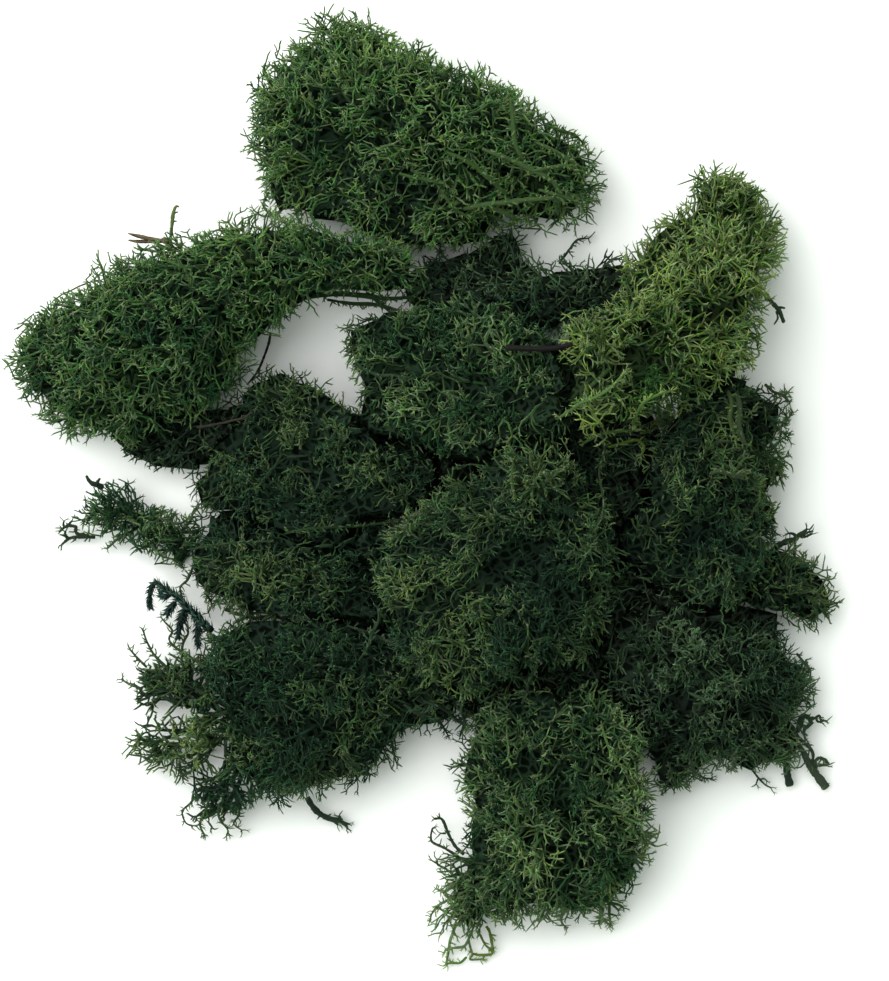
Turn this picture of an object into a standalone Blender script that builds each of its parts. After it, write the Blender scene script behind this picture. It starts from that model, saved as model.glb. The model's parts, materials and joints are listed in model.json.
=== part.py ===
# Moss clump: a handful of dyed reindeer lichen, tangled tufts that lie flat on a table.
# Metres. +X is right and +Y away as seen from above, +Z is up. The origin is the middle of
# the footprint, on the table. Places and radii below are in millimetres, turned by MM.

import math

import bmesh
import bpy
from mathutils import Matrix, Vector

MM = 0.001

# Driving dimensions
GAP = 0.45  # air kept between pieces that press on each other
BED = 0.0  # height of the table
TABLE_SIZE = 400  # side of the block that stands for the table
TABLE_DEPTH = 40  # and its depth
NEEDLE_THICKNESS = (0.4, 0.2)  # radius of a pine needle at its sheath and at its tip

# How round heads are fused into one body: the edge of the cells that fuse them, the rounds of
# smoothing, how far small lumps stand out, how far apart these are, and the triangles kept.
TUFT_BODY = {"cell": 1.3, "smoothing": 3, "lump": 1.2, "lump_spacing": 4.5, "faces": 390}
SPRIG_BODY = {"cell": 0.28, "smoothing": 1, "lump": 0.0, "lump_spacing": 1.0, "faces": 115}

# Each tuft is a few limbs of moss. A limb is a line of round heads: x, y, z and radius.
# tall says how much higher than wide a head is, and share is the tuft's part of the triangles.
# A tuft that is named earlier lies on top, and those after it are cut clear of it.
TUFTS = {
    "right_tuft": {
        "tall": 1.1,
        "share": 1.1,
        "limbs": [
            [
                (46, 42.7, 8.5, 6.3),
                (47, 37.5, 10, 7.4),
                (43.5, 32, 14, 9.2),
                (35, 24.5, 19.5, 7.8),
                (26.5, 21, 22.5, 6.3),
            ],
            [(45, 22.5, 18, 6), (34, 16.5, 22.5, 5.6), (26, 13, 23.5, 4.6)],
            [(41, 37.4, 11, 6.2), (37, 31, 15, 7)],
        ],
    },
    "centre_tuft": {
        "tall": 1.05,
        "share": 1.1,
        "limbs": [
            [(-1, -12.5, 19, 7.3), (7, -8, 21, 9), (16, -1.5, 22, 9.3), (21.5, -9, 21, 8.6)],
            [(2, -21.5, 18, 7), (11.5, -18.5, 21, 9.3), (20.5, -19.5, 19, 7.3)],
            [(7.5, -26, 17, 5.2)],
        ],
    },
    "centre_top_tuft": {
        "tall": 1.0,
        "share": 0.9,
        "limbs": [
            [(-5.5, 21, 13, 6.5), (3, 22, 15, 7.4), (11, 20, 17, 8), (19, 15.5, 18, 7)],
            [(-4, 13.5, 13, 6.5), (5.5, 12, 16, 7.8), (14.5, 9.5, 18, 6.5)],
        ],
    },
    "left_tuft": {
        "tall": 1.1,
        "share": 1.3,
        "limbs": [
            [
                (-54.5, 20.5, 8, 7.8),
                (-47.5, 22, 11.3, 10.4),
                (-38.5, 26, 14, 11.5),
                (-30, 29.8, 15, 10.1),
                (-21, 34.2, 16, 7.3),
            ],
            [(-21, 34.2, 16, 7.3), (-12.5, 34.2, 17, 5.4), (-3.5, 33, 15.5, 3.8)],
            [(-51, 15, 8, 7.2), (-44, 14.5, 9, 7.6), (-35, 19, 11, 8)],
        ],
    },
    "top_tuft": {
        "tall": 1.15,
        "share": 1.4,
        "limbs": [
            [
                (-16.5, 57, 10.5, 9.8),
                (-10.5, 61, 12, 10.5),
                (-1.5, 55, 13, 11.6),
                (8.5, 51.5, 12, 10.6),
                (18.5, 46.8, 9.5, 8.5),
            ],
            [(-17, 50.3, 9, 9), (-5, 45.2, 9.5, 8.4), (6, 43, 9, 7.4)],
        ],
    },
    "bottom_tuft": {
        "tall": 1.1,
        "share": 1.2,
        "limbs": [
            [
                (14.5, -37, 11.5, 8),
                (24.5, -38.5, 12.5, 8.9),
                (26.5, -46, 12, 8.6),
                (27, -52.5, 9.6, 8),
                (24, -58.6, 7, 6.6),
            ],
            [
                (9.5, -41, 7, 4.6),
                (17, -45, 11.5, 8.5),
                (16, -57, 8.6, 8),
                (9.5, -59.4, 6.5, 6.2),
                (6.3, -62.5, 4.4, 5),
            ],
            [(11, -46, 7, 5.4), (11, -53, 7, 5.4)],
        ],
    },
    "mid_left_tuft": {
        "tall": 1.1,
        "share": 0.9,
        "limbs": [
            [(-21, 11.5, 9, 7), (-13, 5.5, 11, 8), (-4, 2, 11, 7)],
            [(-30.5, 1, 6, 4.2), (-25, 3, 9, 7), (-15, -2, 10, 7.5)],
        ],
    },
    "right_middle_tuft": {
        "tall": 1.2,
        "share": 1.0,
        "limbs": [
            [(45, 11.5, 11, 7.5), (42, 3, 13, 8.5), (46.5, -5, 11, 8), (44, -12, 10, 7)],
            [(51.5, 12, 6, 4), (50, 5, 8, 5.8)],
            [(36.5, -7.5, 9, 7.3)],
        ],
    },
    "lower_left_tuft": {
        "tall": 1.1,
        "share": 1.3,
        "limbs": [
            [(-26, -27.5, 8, 8.8), (-15, -27.5, 10, 9.3), (-5, -30, 9, 7), (1.2, -30, 8, 5.6)],
            [(-31, -36, 7, 7.5), (-20, -38, 8, 9), (-10, -37, 7, 7)],
            [(-38.5, -29.5, 4, 5), (-30, -32, 6, 6)],
            [(-40, -38.5, 4, 4.6), (-33, -37, 5, 6)],
            [(-30.5, -46, 4, 4.8), (-26, -40, 6, 6)],
        ],
    },
    "lower_right_tuft": {
        "tall": 1.1,
        "share": 1.1,
        "limbs": [
            [(33, -23, 8, 7), (40, -25.5, 10, 8.3), (48.5, -28.5, 9, 7.5), (55.5, -29.5, 6, 4.6)],
            [(34, -31.5, 8, 7.5), (42, -34.5, 8, 7.5), (50, -37, 6, 5), (54.5, -39.5, 3.4, 3)],
            [(38.5, -41.5, 4, 3.9)],
            [(35, -18, 8, 5), (44, -20, 8, 5.4), (51, -21, 7, 3.8)],
        ],
    },
    "left_middle_tuft": {
        "tall": 1.1,
        "share": 0.6,
        "limbs": [
            [(-30, -11, 6, 5.6), (-20, -13, 9, 7.5), (-11, -12, 10, 7), (-5, -10, 10, 5)],
            [(-28.5, -5.6, 5, 4.2), (-20, -5.6, 7, 5), (-10, -5, 8, 5)],
            [(-14, -18, 7, 4.8), (-6.5, -18.5, 8, 4.8)],
        ],
    },
    "left_sprig_tuft": {
        "tall": 1.0,
        "share": 0.4,
        "limbs": [
            [(-48, -2.8, 4, 3.9), (-42.5, -5, 5, 4.5), (-36, -7.6, 5, 4.2), (-30.5, -9, 5, 4)],
        ],
    },
    "right_edge_tuft": {
        "tall": 1.1,
        "share": 0.4,
        "limbs": [
            [(51, -14.5, 7, 5), (55.5, -13, 6, 5), (59, -16.3, 4.6, 4)],
        ],
    },
    "back_tuft": {
        "tall": 1.1,
        "share": 0.6,
        "limbs": [
            [(0.5, 31, 6, 4), (8.5, 31, 7, 5.4), (16, 29, 8, 5.6), (24, 30, 7, 5), (30, 31, 6, 4.1)],
            [(12, 36.5, 5, 3.2), (10, 31, 6, 4)],
        ],
    },
    "under_left_tuft": {
        "tall": 0.9,
        "share": 0.4,
        "limbs": [
            [(-42.5, 8.8, 4, 4.6), (-36, 7.6, 5, 5.2), (-28, 8.6, 6, 5.4)],
        ],
    },
    "centre_base_tuft": {
        "tall": 0.9,
        "share": 0.9,
        "limbs": [
            [(5, 8, 6, 9), (13, -4, 6, 10), (9, -17, 6, 10), (10, -28, 5, 7.5)],
            [(27, 9, 7, 9), (30, -3, 6, 9), (27, -17, 6, 9), (24, -27, 5, 7)],
        ],
    },
}

# Loose branches and cut stems that stick out of the heap, as the same kind of limbs. The last
# one is a shoot of another moss, flat and feathery.
SPRIGS = {
    "left_claw_sprig": [
        [(-49.4, -7, 2, 0.45), (-52.2, -6.9, 1.6, 0.45), (-54.9, -7.8, 1.1, 0.3)],
        [(-52.2, -6.9, 1.6, 0.4), (-52.3, -5.5, 1.8, 0.4), (-53.6, -5.4, 1.7, 0.35), (-55, -6, 1.3, 0.3)],
        [(-53.6, -5.4, 1.7, 0.35), (-54.3, -4.4, 1.8, 0.3)],
    ],
    "left_horn_sprig": [
        [(-47.4, -0.6, 4.6, 0.5), (-49.6, 1.1, 5.6, 0.45), (-50.8, 2.3, 6.2, 0.35)],
        [(-49.4, 0.9, 5.6, 0.4), (-48.3, 1.9, 6.6, 0.3)],
    ],
    "small_right_sprig": [
        [(49.6, 29, 12, 0.5), (53, 27.4, 11, 0.5), (54.5, 25.3, 9.5, 0.4)],
        [(53.2, 27.2, 11, 0.4), (54.3, 27.5, 11.4, 0.3)],
    ],
    "right_horn_sprig": [
        [(53.5, -8.5, 6, 0.6), (56.7, -7, 6, 0.55), (58.1, -5.8, 6, 0.4)],
        [(57.2, -6.6, 6, 0.4), (58.9, -6.6, 5.8, 0.3)],
    ],
    "lower_right_antler": [
        [(54.4, -36.4, 3.4, 0.5), (56.4, -36, 3.6, 0.8), (57.2, -34.8, 3.6, 0.9), (58.4, -34.6, 3.4, 0.5)],
        [(58.4, -34.6, 3.4, 0.45), (59.8, -34.2, 3.2, 0.4), (61, -34.8, 2.8, 0.35)],
    ],
    "lower_right_stem": [
        [(56, -37.6, 2.6, 0.5), (58.6, -39, 2.6, 0.5), (58.4, -41.2, 2.2, 0.7), (60.7, -44.5, 1.4, 0.85)],
        [(59.2, -41.2, 2.2, 0.4), (60.2, -39.9, 2.8, 0.35), (61.2, -40.9, 2.6, 0.4)],
    ],
    "short_cut_stem": [
        [(55.2, -40.8, 1.8, 0.7), (55.8, -44, 1.3, 0.75)],
    ],
    "lower_right_thread": [
        [(47.6, -39, 2, 0.35), (50.2, -42.7, 1.5, 0.35), (51.2, -44.2, 1.2, 0.35), (52.9, -45.1, 1, 0.3)],
        [(51.2, -44.2, 1.2, 0.35), (50.5, -44.8, 1, 0.3)],
    ],
    "lower_left_stem": [
        [
            (-17.6, -46.4, 2.4, 0.5),
            (-14.5, -49.2, 1.7, 0.5),
            (-12.2, -50.2, 1.4, 0.5),
            (-11.1, -51.3, 1, 0.3),
        ],
        [(-12.6, -50, 1.4, 0.4), (-12.4, -49.3, 1.6, 0.3)],
    ],
    "bottom_left_antler": [
        [(5.6, -55, 3.4, 0.45), (4.2, -52.8, 3.2, 0.45), (2.9, -49.8, 2.6, 0.35), (1.8, -49.5, 2.4, 0.3)],
        [(5.2, -54.6, 3.4, 0.4), (2.4, -53.6, 2.8, 0.35), (1.5, -52, 2.6, 0.3), (1.9, -50.9, 2.8, 0.3)],
    ],
    "bottom_tip_sprig": [
        [(7.8, -66.6, 2, 0.4), (5.7, -68.7, 1.6, 0.4), (3.7, -69.9, 1.2, 0.35), (3.5, -71.9, 0.9, 0.3)],
        [(5.7, -68.7, 1.6, 0.35), (7.4, -70.4, 1.2, 0.3), (9.6, -71.3, 1, 0.3)],
    ],
    "bottom_right_sprig": [
        [(25.8, -59.4, 4, 0.5), (28.4, -62.2, 2.8, 0.5), (29.4, -64.8, 1.6, 0.35)],
        [(28.4, -62.2, 2.8, 0.4), (30.2, -62.6, 2.4, 0.3)],
        [(27.2, -61, 3.2, 0.4), (26.4, -63.6, 2, 0.3)],
    ],
    "feather_moss_shoot": [
        [
            (-32.4, -20.4, 6.6, 0.6),
            (-34.8, -18.2, 6.6, 0.6),
            (-38.8, -14.9, 5.8, 0.6),
            (-40.1, -14, 5.2, 0.55),
            (-41.2, -16.6, 4, 0.5),
            (-41, -18.3, 3.2, 0.35),
        ],
        [(-35.4, -18.2, 6.4, 0.5), (-36.1, -20.2, 5.4, 0.55), (-36.8, -22.8, 4.2, 0.35)],
        [(-37.1, -16.9, 6.2, 0.5), (-37.8, -17.9, 5.4, 0.5), (-38.4, -19, 4.6, 0.35)],
    ],
}

# Bits of other plants caught in the moss: the line each follows, and its radius at both ends.
TWIGS = {
    "curled_stalk": {
        "line": [(-37.6, 36.2, 12), (-37.5, 39.6, 12.5), (-37.3, 41.8, 12.7), (-36.5, 42.8, 12.2)],
        "radii": (0.5, 0.3),
    },
    "red_twig": {
        "line": [(-34, 8.6, 12.5), (-30, 10.4, 13.2), (-26, 11.6, 13.2)],
        "radii": (0.35, 0.3),
    },
    "black_twig": {
        "line": [(12.6, 21.8, 25.9), (18, 21.6, 26.2), (21.4, 22, 26.6)],
        "radii": (0.5, 0.4),
    },
    "dark_rootlet": {
        "line": [(-22.6, 25.2, 9), (-22.8, 21, 7.5), (-24.6, 17, 5.5)],
        "radii": (0.3, 0.22),
    },
}
NEEDLES = {"foot": (-37, 37.2, 12), "tips": [(-44.2, 38.8, 11.2), (-44.2, 37.6, 11)]}

MOSS_COLOURS = {
    "light": (0.075, 0.135, 0.035, 1),
    "green": (0.03, 0.085, 0.022, 1),
    "dark": (0.012, 0.04, 0.016, 1),
    "bark": (0.05, 0.02, 0.012, 1),
}
LIGHT_TUFTS = ("right_tuft", "centre_top_tuft", "bottom_tuft")
DARK_TUFTS = (
    "back_tuft",
    "under_left_tuft",
    "right_middle_tuft",
    "right_edge_tuft",
    "lower_right_tuft",
    "centre_base_tuft",
)


def clear_scene():
    for thing in list(bpy.data.objects):
        bpy.data.objects.remove(thing)


def new_collection(name):
    made = bpy.data.collections.new(name)
    bpy.context.scene.collection.children.link(made)
    return made


def moss_material(name, colour):
    made = bpy.data.materials.new(name)
    made.use_nodes = True
    shader = made.node_tree.nodes["Principled BSDF"]
    shader.inputs["Base Color"].default_value = colour
    shader.inputs["Roughness"].default_value = 0.9
    shader.inputs["Metallic"].default_value = 0.0
    return made


def add_object(name, mesh, collection):
    made = bpy.data.objects.new(name, mesh)
    collection.objects.link(made)
    return made


def finished_mesh(thing, name):
    """The object's mesh with its modifiers carried out, in a mesh of its own."""
    bpy.context.view_layer.update()
    graph = bpy.context.evaluated_depsgraph_get()
    mesh = bpy.data.meshes.new_from_object(thing.evaluated_get(graph))
    mesh.name = name
    return mesh


def heads_along(limb):
    """Round heads from end to end of a limb, close enough together to fuse."""
    heads = [limb[0]]
    for one, other in zip(limb, limb[1:]):
        steps = max(1, round(math.dist(one[:3], other[:3]) / (0.5 * min(one[3], other[3]))))
        for step in range(1, steps + 1):
            share = step / steps
            heads.append(tuple(a + (b - a) * share for a, b in zip(one, other)))
    return heads


def fused_heads(name, limbs, tall, body_style, collection):
    """One lumpy closed body around all the heads of the limbs."""
    heads = bmesh.new()
    for limb in limbs:
        for x, y, z, radius in heads_along(limb):
            place = Matrix.Translation(Vector((x, y, z)) * MM)
            size = Matrix.Diagonal((radius * MM, radius * MM, radius * tall * MM, 1))
            bmesh.ops.create_icosphere(heads, subdivisions=2, radius=1, matrix=place @ size)
    mesh = bpy.data.meshes.new(name)
    heads.to_mesh(mesh)
    heads.free()
    thing = add_object(name, mesh, collection)

    fuse = thing.modifiers.new("fuse", "REMESH")
    fuse.mode = "VOXEL"
    fuse.voxel_size = body_style["cell"] * MM

    soften = thing.modifiers.new("soften", "SMOOTH")
    soften.factor = 0.5
    soften.iterations = body_style["smoothing"]

    lumps = bpy.data.textures.new(name + "_lumps", "CLOUDS")
    lumps.noise_scale = body_style["lump_spacing"] * MM
    lumps.noise_depth = 1
    heave = thing.modifiers.new("lumps", "DISPLACE")
    heave.texture = lumps
    heave.texture_coords = "LOCAL"
    heave.strength = 2 * body_style["lump"] * MM
    heave.mid_level = 0.5
    return thing


def thin_out(thing, faces):
    """Fewer, larger facets, still one closed body."""
    full = finished_mesh(thing, thing.name + "_full")
    full.calc_loop_triangles()
    dense = len(full.loop_triangles)
    bpy.data.meshes.remove(full)
    thin = thing.modifiers.new("thin", "DECIMATE")
    thin.ratio = min(1.0, faces / dense)


def largest_piece(mesh):
    """Drops the crumbs that a cut leaves, and keeps the one large body."""
    body = bmesh.new()
    body.from_mesh(mesh)
    unseen = set(body.verts)
    pieces = []
    while unseen:
        group = [unseen.pop()]
        for vert in group:
            for edge in vert.link_edges:
                other = edge.other_vert(vert)
                if other in unseen:
                    unseen.remove(other)
                    group.append(other)
        pieces.append(group)
    pieces.sort(key=len)
    for crumb in pieces[:-1]:
        bmesh.ops.delete(body, geom=crumb, context="VERTS")
    bmesh.ops.triangulate(body, faces=body.faces)
    body.to_mesh(mesh)
    body.free()


def hidden(thing):
    thing.hide_render = True
    thing.display_type = "WIRE"
    return thing


def table_cutter(collection):
    """A block whose top is the table, so that the moss is flat where it lies."""
    block = bmesh.new()
    place = Matrix.Translation((0, 0, (BED - TABLE_DEPTH / 2) * MM))
    size = Matrix.Diagonal((TABLE_SIZE * MM, TABLE_SIZE * MM, TABLE_DEPTH * MM, 1))
    bmesh.ops.create_cube(block, size=1, matrix=place @ size)
    mesh = bpy.data.meshes.new("table_cutter")
    block.to_mesh(mesh)
    block.free()
    return hidden(add_object("table_cutter", mesh, collection))


def boxes_meet(one, other):
    """True where the boxes around two objects share any room."""
    spans = []
    for thing in (one, other):
        corners = [v.co for v in thing.data.vertices]
        spans.append([(min(c[i] for c in corners), max(c[i] for c in corners)) for i in range(3)])
    reach = GAP * MM
    return all(a[0] < b[1] + reach and b[0] < a[1] + reach for a, b in zip(*spans))


def cut(thing, cutter):
    made = thing.modifiers.new("clear_of_" + cutter.name, "BOOLEAN")
    made.operation = "DIFFERENCE"
    made.solver = "EXACT"
    made.object = cutter


def bake_down(thing):
    """Replaces the object's mesh by its finished one, in one piece, with no modifiers left."""
    mesh = finished_mesh(thing, thing.name)
    largest_piece(mesh)
    thing.modifiers.clear()
    thing.data = mesh


def grown_copy(thing, collection):
    """The object swollen by the gap, which cuts its neighbours clear of it."""
    copy = hidden(add_object(thing.name + "_room", thing.data.copy(), collection))
    swell = copy.modifiers.new("swell", "DISPLACE")
    swell.strength = GAP * MM
    swell.mid_level = 0.0
    return copy


def settle(thing, rooms, cutters, material):
    """Cuts a piece clear of the pieces before it, and keeps its own room for those after it."""
    for room in rooms:
        if boxes_meet(thing, room):
            cut(thing, room)
    bake_down(thing)
    thing.data.materials.append(material)
    rooms.append(grown_copy(thing, cutters))


def make_tufts(parts, cutters, materials, rooms):
    table = table_cutter(cutters)
    for name, tuft in TUFTS.items():
        thing = fused_heads(name, tuft["limbs"], tuft["tall"], TUFT_BODY, parts)
        thin_out(thing, TUFT_BODY["faces"] * tuft["share"])
        bake_down(thing)
        cut(thing, table)
        shade = "light" if name in LIGHT_TUFTS else "dark" if name in DARK_TUFTS else "green"
        settle(thing, rooms, cutters, materials[shade])
    bpy.data.objects.remove(table)


def make_sprigs(parts, cutters, materials, rooms):
    for name, limbs in SPRIGS.items():
        thing = fused_heads(name, limbs, 1.0, SPRIG_BODY, parts)
        thin_out(thing, SPRIG_BODY["faces"] * (1 + len(limbs)) / 3)
        bake_down(thing)
        settle(thing, rooms, cutters, materials["dark"])


def tube(name, line, radii, parts):
    """A round stalk along a line, with filled ends, welded into one closed mesh."""
    curve = bpy.data.curves.new(name, "CURVE")
    curve.dimensions = "3D"
    curve.bevel_depth = MM
    curve.bevel_resolution = 1
    curve.use_fill_caps = True
    spline = curve.splines.new("POLY")
    spline.points.add(len(line) - 1)
    for index, point in enumerate(line):
        share = index / (len(line) - 1)
        spline.points[index].co = (*(Vector(point) * MM), 1)
        spline.points[index].radius = radii[0] + (radii[1] - radii[0]) * share
    stalk = add_object(name + "_line", curve, parts)
    mesh = finished_mesh(stalk, name)
    bpy.data.objects.remove(stalk)
    body = bmesh.new()
    body.from_mesh(mesh)
    bmesh.ops.remove_doubles(body, verts=body.verts, dist=0.01 * MM)
    body.to_mesh(mesh)
    body.free()
    return add_object(name, mesh, parts)


def make_twigs(parts, cutters, materials, rooms):
    for name, twig in TWIGS.items():
        thing = tube(name, twig["line"], twig["radii"], parts)
        settle(thing, rooms, cutters, materials["bark"])


def make_needles(parts, cutters, materials, rooms):
    """Two dry pine needles that part from one sheath."""
    foot = Vector(NEEDLES["foot"])
    arms = []
    for index, tip in enumerate(NEEDLES["tips"]):
        line = [foot, foot.lerp(Vector(tip), 0.5), Vector(tip)]
        arms.append(tube(f"needle_{index}", line, NEEDLE_THICKNESS, parts))
    join = arms[0].modifiers.new("join", "BOOLEAN")
    join.operation = "UNION"
    join.solver = "EXACT"
    join.object = arms[1]
    pair = add_object("pine_needle_pair", finished_mesh(arms[0], "pine_needle_pair"), parts)
    for arm in arms:
        bpy.data.objects.remove(arm)
    settle(pair, rooms, cutters, materials["bark"])


def centre_clump(parts):
    """Moves all pieces together, so that the origin is the middle of the footprint."""
    corners = [v.co for thing in parts.objects for v in thing.data.vertices]
    middle = Vector((0, 0, min(c.z for c in corners)))
    for axis in (0, 1):
        values = [c[axis] for c in corners]
        middle[axis] = (min(values) + max(values)) / 2
    for thing in parts.objects:
        thing.data.transform(Matrix.Translation(-middle))
    print("moved by", [round(-v / MM, 3) for v in middle])


def main():
    clear_scene()
    parts = new_collection("moss_clump")
    cutters = new_collection("cutters")
    materials = {name: moss_material("moss_" + name, colour) for name, colour in MOSS_COLOURS.items()}
    rooms = []
    make_tufts(parts, cutters, materials, rooms)
    make_sprigs(parts, cutters, materials, rooms)
    make_twigs(parts, cutters, materials, rooms)
    make_needles(parts, cutters, materials, rooms)
    for room in rooms:
        bpy.data.objects.remove(room)
    centre_clump(parts)


main()
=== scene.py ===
# Dress for the moss clump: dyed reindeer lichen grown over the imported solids, and the bits of
# other plants caught in it. Lengths in this script are millimetres, turned to metres by mm.

import json
import math

import bmesh
import bpy
import numpy as np
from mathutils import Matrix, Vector, noise
from mathutils.bvhtree import BVHTree

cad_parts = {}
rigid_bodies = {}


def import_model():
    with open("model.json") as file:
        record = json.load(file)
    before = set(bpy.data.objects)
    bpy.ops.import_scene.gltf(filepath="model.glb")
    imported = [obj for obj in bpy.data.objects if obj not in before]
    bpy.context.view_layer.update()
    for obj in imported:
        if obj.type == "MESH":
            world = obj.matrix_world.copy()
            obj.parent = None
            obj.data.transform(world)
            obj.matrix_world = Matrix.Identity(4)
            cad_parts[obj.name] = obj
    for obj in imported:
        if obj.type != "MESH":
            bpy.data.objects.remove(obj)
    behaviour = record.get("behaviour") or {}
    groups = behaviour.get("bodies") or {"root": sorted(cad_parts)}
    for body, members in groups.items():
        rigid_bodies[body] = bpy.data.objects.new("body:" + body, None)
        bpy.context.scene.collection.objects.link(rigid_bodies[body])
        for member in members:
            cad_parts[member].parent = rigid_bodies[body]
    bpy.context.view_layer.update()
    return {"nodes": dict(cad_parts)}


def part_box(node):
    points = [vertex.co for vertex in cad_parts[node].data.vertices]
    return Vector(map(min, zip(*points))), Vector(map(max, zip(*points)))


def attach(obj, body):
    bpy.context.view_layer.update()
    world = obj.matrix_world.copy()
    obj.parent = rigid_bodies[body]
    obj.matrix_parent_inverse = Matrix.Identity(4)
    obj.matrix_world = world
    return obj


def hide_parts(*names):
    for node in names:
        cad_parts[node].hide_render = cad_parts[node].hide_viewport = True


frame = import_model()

mm = 0.001
seed = 7
noise.seed_set(seed)  # or else its vectors change from run to run
bakeMap = "OFBake"  # each branch's own map: age along it, tone across it
tau = 2 * math.pi
goldenAngle = math.radians(137.5)
mapHair = 0.004  # how far apart on that map the sides of a branch lie, so that no face has no area there
tableGap = 0.5  # branches lower than this are pressed against the table


# Small helpers for arrays of points, a row for each

def unit(vectors):
    return vectors / np.maximum(np.linalg.norm(vectors, axis=-1, keepdims=True), 1e-9)


def acrossFrom(direction, guess):  # square to each direction, as near to the guess as can be
    side = guess - direction * (guess * direction).sum(-1, keepdims=True)
    weak = np.linalg.norm(side, axis=-1) < 0.05
    if weak.any():
        other = np.roll(direction[weak], 1, axis=-1) + 0.3
        side[weak] = other - direction[weak] * (other * direction[weak]).sum(-1, keepdims=True)
    return unit(side)


def smoothStep(x, low, high):
    t = np.clip((x - low) / (high - low), 0, 1)
    return t * t * (3 - 2 * t)


def nearSpot(points, x, y, inner, outer):  # seen from above: 1 near the spot, 0 past the outer radius
    return 1 - smoothStep(np.hypot(points[:, 0] - x, points[:, 1] - y), inner, outer)


def noiseAt(points, scale, offset=0.0):
    return np.array([noise.noise(Vector(p) * scale + Vector((offset, offset, offset))) for p in points])


def wanderAt(points, scale, offset=0.0):
    shift = Vector((offset, offset, offset))
    return np.array([noise.noise_vector(Vector(p) * scale + shift) for p in points])


def smoothLine(points, steps):  # a Catmull-Rom curve through the points, radius and all
    p = np.array(points, float)
    p = np.vstack([2 * p[0] - p[1], p, 2 * p[-1] - p[-2]])
    t = np.linspace(0, len(points) - 1, steps)
    i = np.minimum(t.astype(int), len(points) - 2)
    f = (t - i)[:, None]
    a, b, c, d = p[i], p[i + 1], p[i + 2], p[i + 3]
    bend = (2 * a - 5 * b + 4 * c - d) * f * f + (3 * b - a - 3 * c + d) * f ** 3
    return (2 * b + (c - a) * f + bend) / 2


def runAlong(line):  # the length of a line up to each of its points
    return np.concatenate([[0], np.cumsum(np.linalg.norm(np.diff(line[:, :3], axis=0), axis=1))])


# Branchwork: rings of points joined by faces, kept in arrays until a piece is whole

class Branchwork:
    def __init__(self):
        self.points, self.ages, self.tones = [], [], []
        self.quads, self.tris = [], []
        self.count = 0

    def keep(self, points, ages, tones):
        first = self.count
        self.points.append(points.reshape(-1, 3))
        self.count += len(self.points[-1])
        self.ages.append(np.broadcast_to(ages, self.count - first))
        self.tones.append(np.broadcast_to(tones, self.count - first))
        return first

    def rings(self, centres, directions, across, radii, ages, tones, sides):
        turn = np.arange(sides) / sides * tau
        up = np.cross(directions, across)
        spokes = across[:, None] * np.cos(turn)[None, :, None] + up[:, None] * np.sin(turn)[None, :, None]
        count = len(centres)
        first = self.keep(
            centres[:, None] + spokes * np.broadcast_to(radii, count)[:, None, None],
            np.repeat(np.broadcast_to(ages, count), sides) + np.tile(mapHair * np.cos(turn), count),
            np.repeat(np.broadcast_to(tones, count), sides) + np.tile(mapHair * np.sin(turn), count),
        )
        return first + np.arange(count) * sides

    def tubes(self, start, end, sides):
        for k in range(sides):
            n = (k + 1) % sides
            self.quads.append(np.stack([start + k, start + n, end + n, end + k], 1))

    def cones(self, start, tips, ages, tones, sides):
        apex = self.keep(tips, ages, tones) + np.arange(len(tips))
        for k in range(sides):
            self.tris.append(np.stack([start + k, start + (k + 1) % sides, apex], 1))

    def caps(self, ring, sides, atEnd):
        for k in range(1, sides - 1):
            fan = [ring, ring + k, ring + k + 1] if atEnd else [ring, ring + k + 1, ring + k]
            self.tris.append(np.stack(fan, 1))

    def mesh(self, name):
        points = np.concatenate(self.points)
        low = points[:, 2] < tableGap  # what would sink into the table bends along it
        points[low, 2] = tableGap * np.exp(points[low, 2] / tableGap - 1)
        uv = np.stack([np.concatenate(self.ages), np.concatenate(self.tones)], 1)
        quads = np.concatenate(self.quads) if self.quads else np.zeros((0, 4), int)
        tris = np.concatenate(self.tris) if self.tris else np.zeros((0, 3), int)
        corners = np.concatenate([quads.reshape(-1), tris.reshape(-1)]).astype(np.int32)
        starts = np.concatenate([np.arange(len(quads)) * 4, len(quads) * 4 + np.arange(len(tris)) * 3])
        made = bpy.data.meshes.new(name)
        made.vertices.add(len(points))
        made.vertices.foreach_set("co", (points * mm).astype(np.float32).reshape(-1))
        made.loops.add(len(corners))
        made.loops.foreach_set("vertex_index", corners)
        made.polygons.add(len(starts))
        made.polygons.foreach_set("loop_start", starts.astype(np.int32))
        layer = made.uv_layers.new(name=bakeMap)
        layer.uv.foreach_set("vector", np.clip(uv[corners], 0.004, 0.996).astype(np.float32).reshape(-1))
        made.update(calc_edges=True)
        made.validate()
        made.shade_smooth()
        return made, 2 * len(quads) + len(tris)


# Where moss can grow

def nodeTriangles(name):
    data = frame["nodes"][name].data
    data.calc_loop_triangles()
    points = np.zeros(len(data.vertices) * 3)
    data.vertices.foreach_get("co", points)
    corners = np.zeros(len(data.loop_triangles) * 3, int)
    data.loop_triangles.foreach_get("vertices", corners)
    # a flat-shaded solid comes with its points doubled along the edges, and they are joined here
    points, which = np.unique(points.reshape(-1, 3).round(8), axis=0, return_inverse=True)
    return points / mm, which.reshape(-1)[corners.reshape(-1, 3)]


solids = {name: nodeTriangles(name) for name in frame["nodes"]}
tuftNames = sorted(name for name in solids if name.endswith("_tuft"))


def treeOf(names):
    points, faces, first = [], [], 0
    for name in names:
        own, corners = solids[name]
        points.append(own)
        faces.append(corners + first)
        first += len(own)
    return BVHTree.FromPolygons(np.concatenate(points).tolist(), np.concatenate(faces).tolist())


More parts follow.
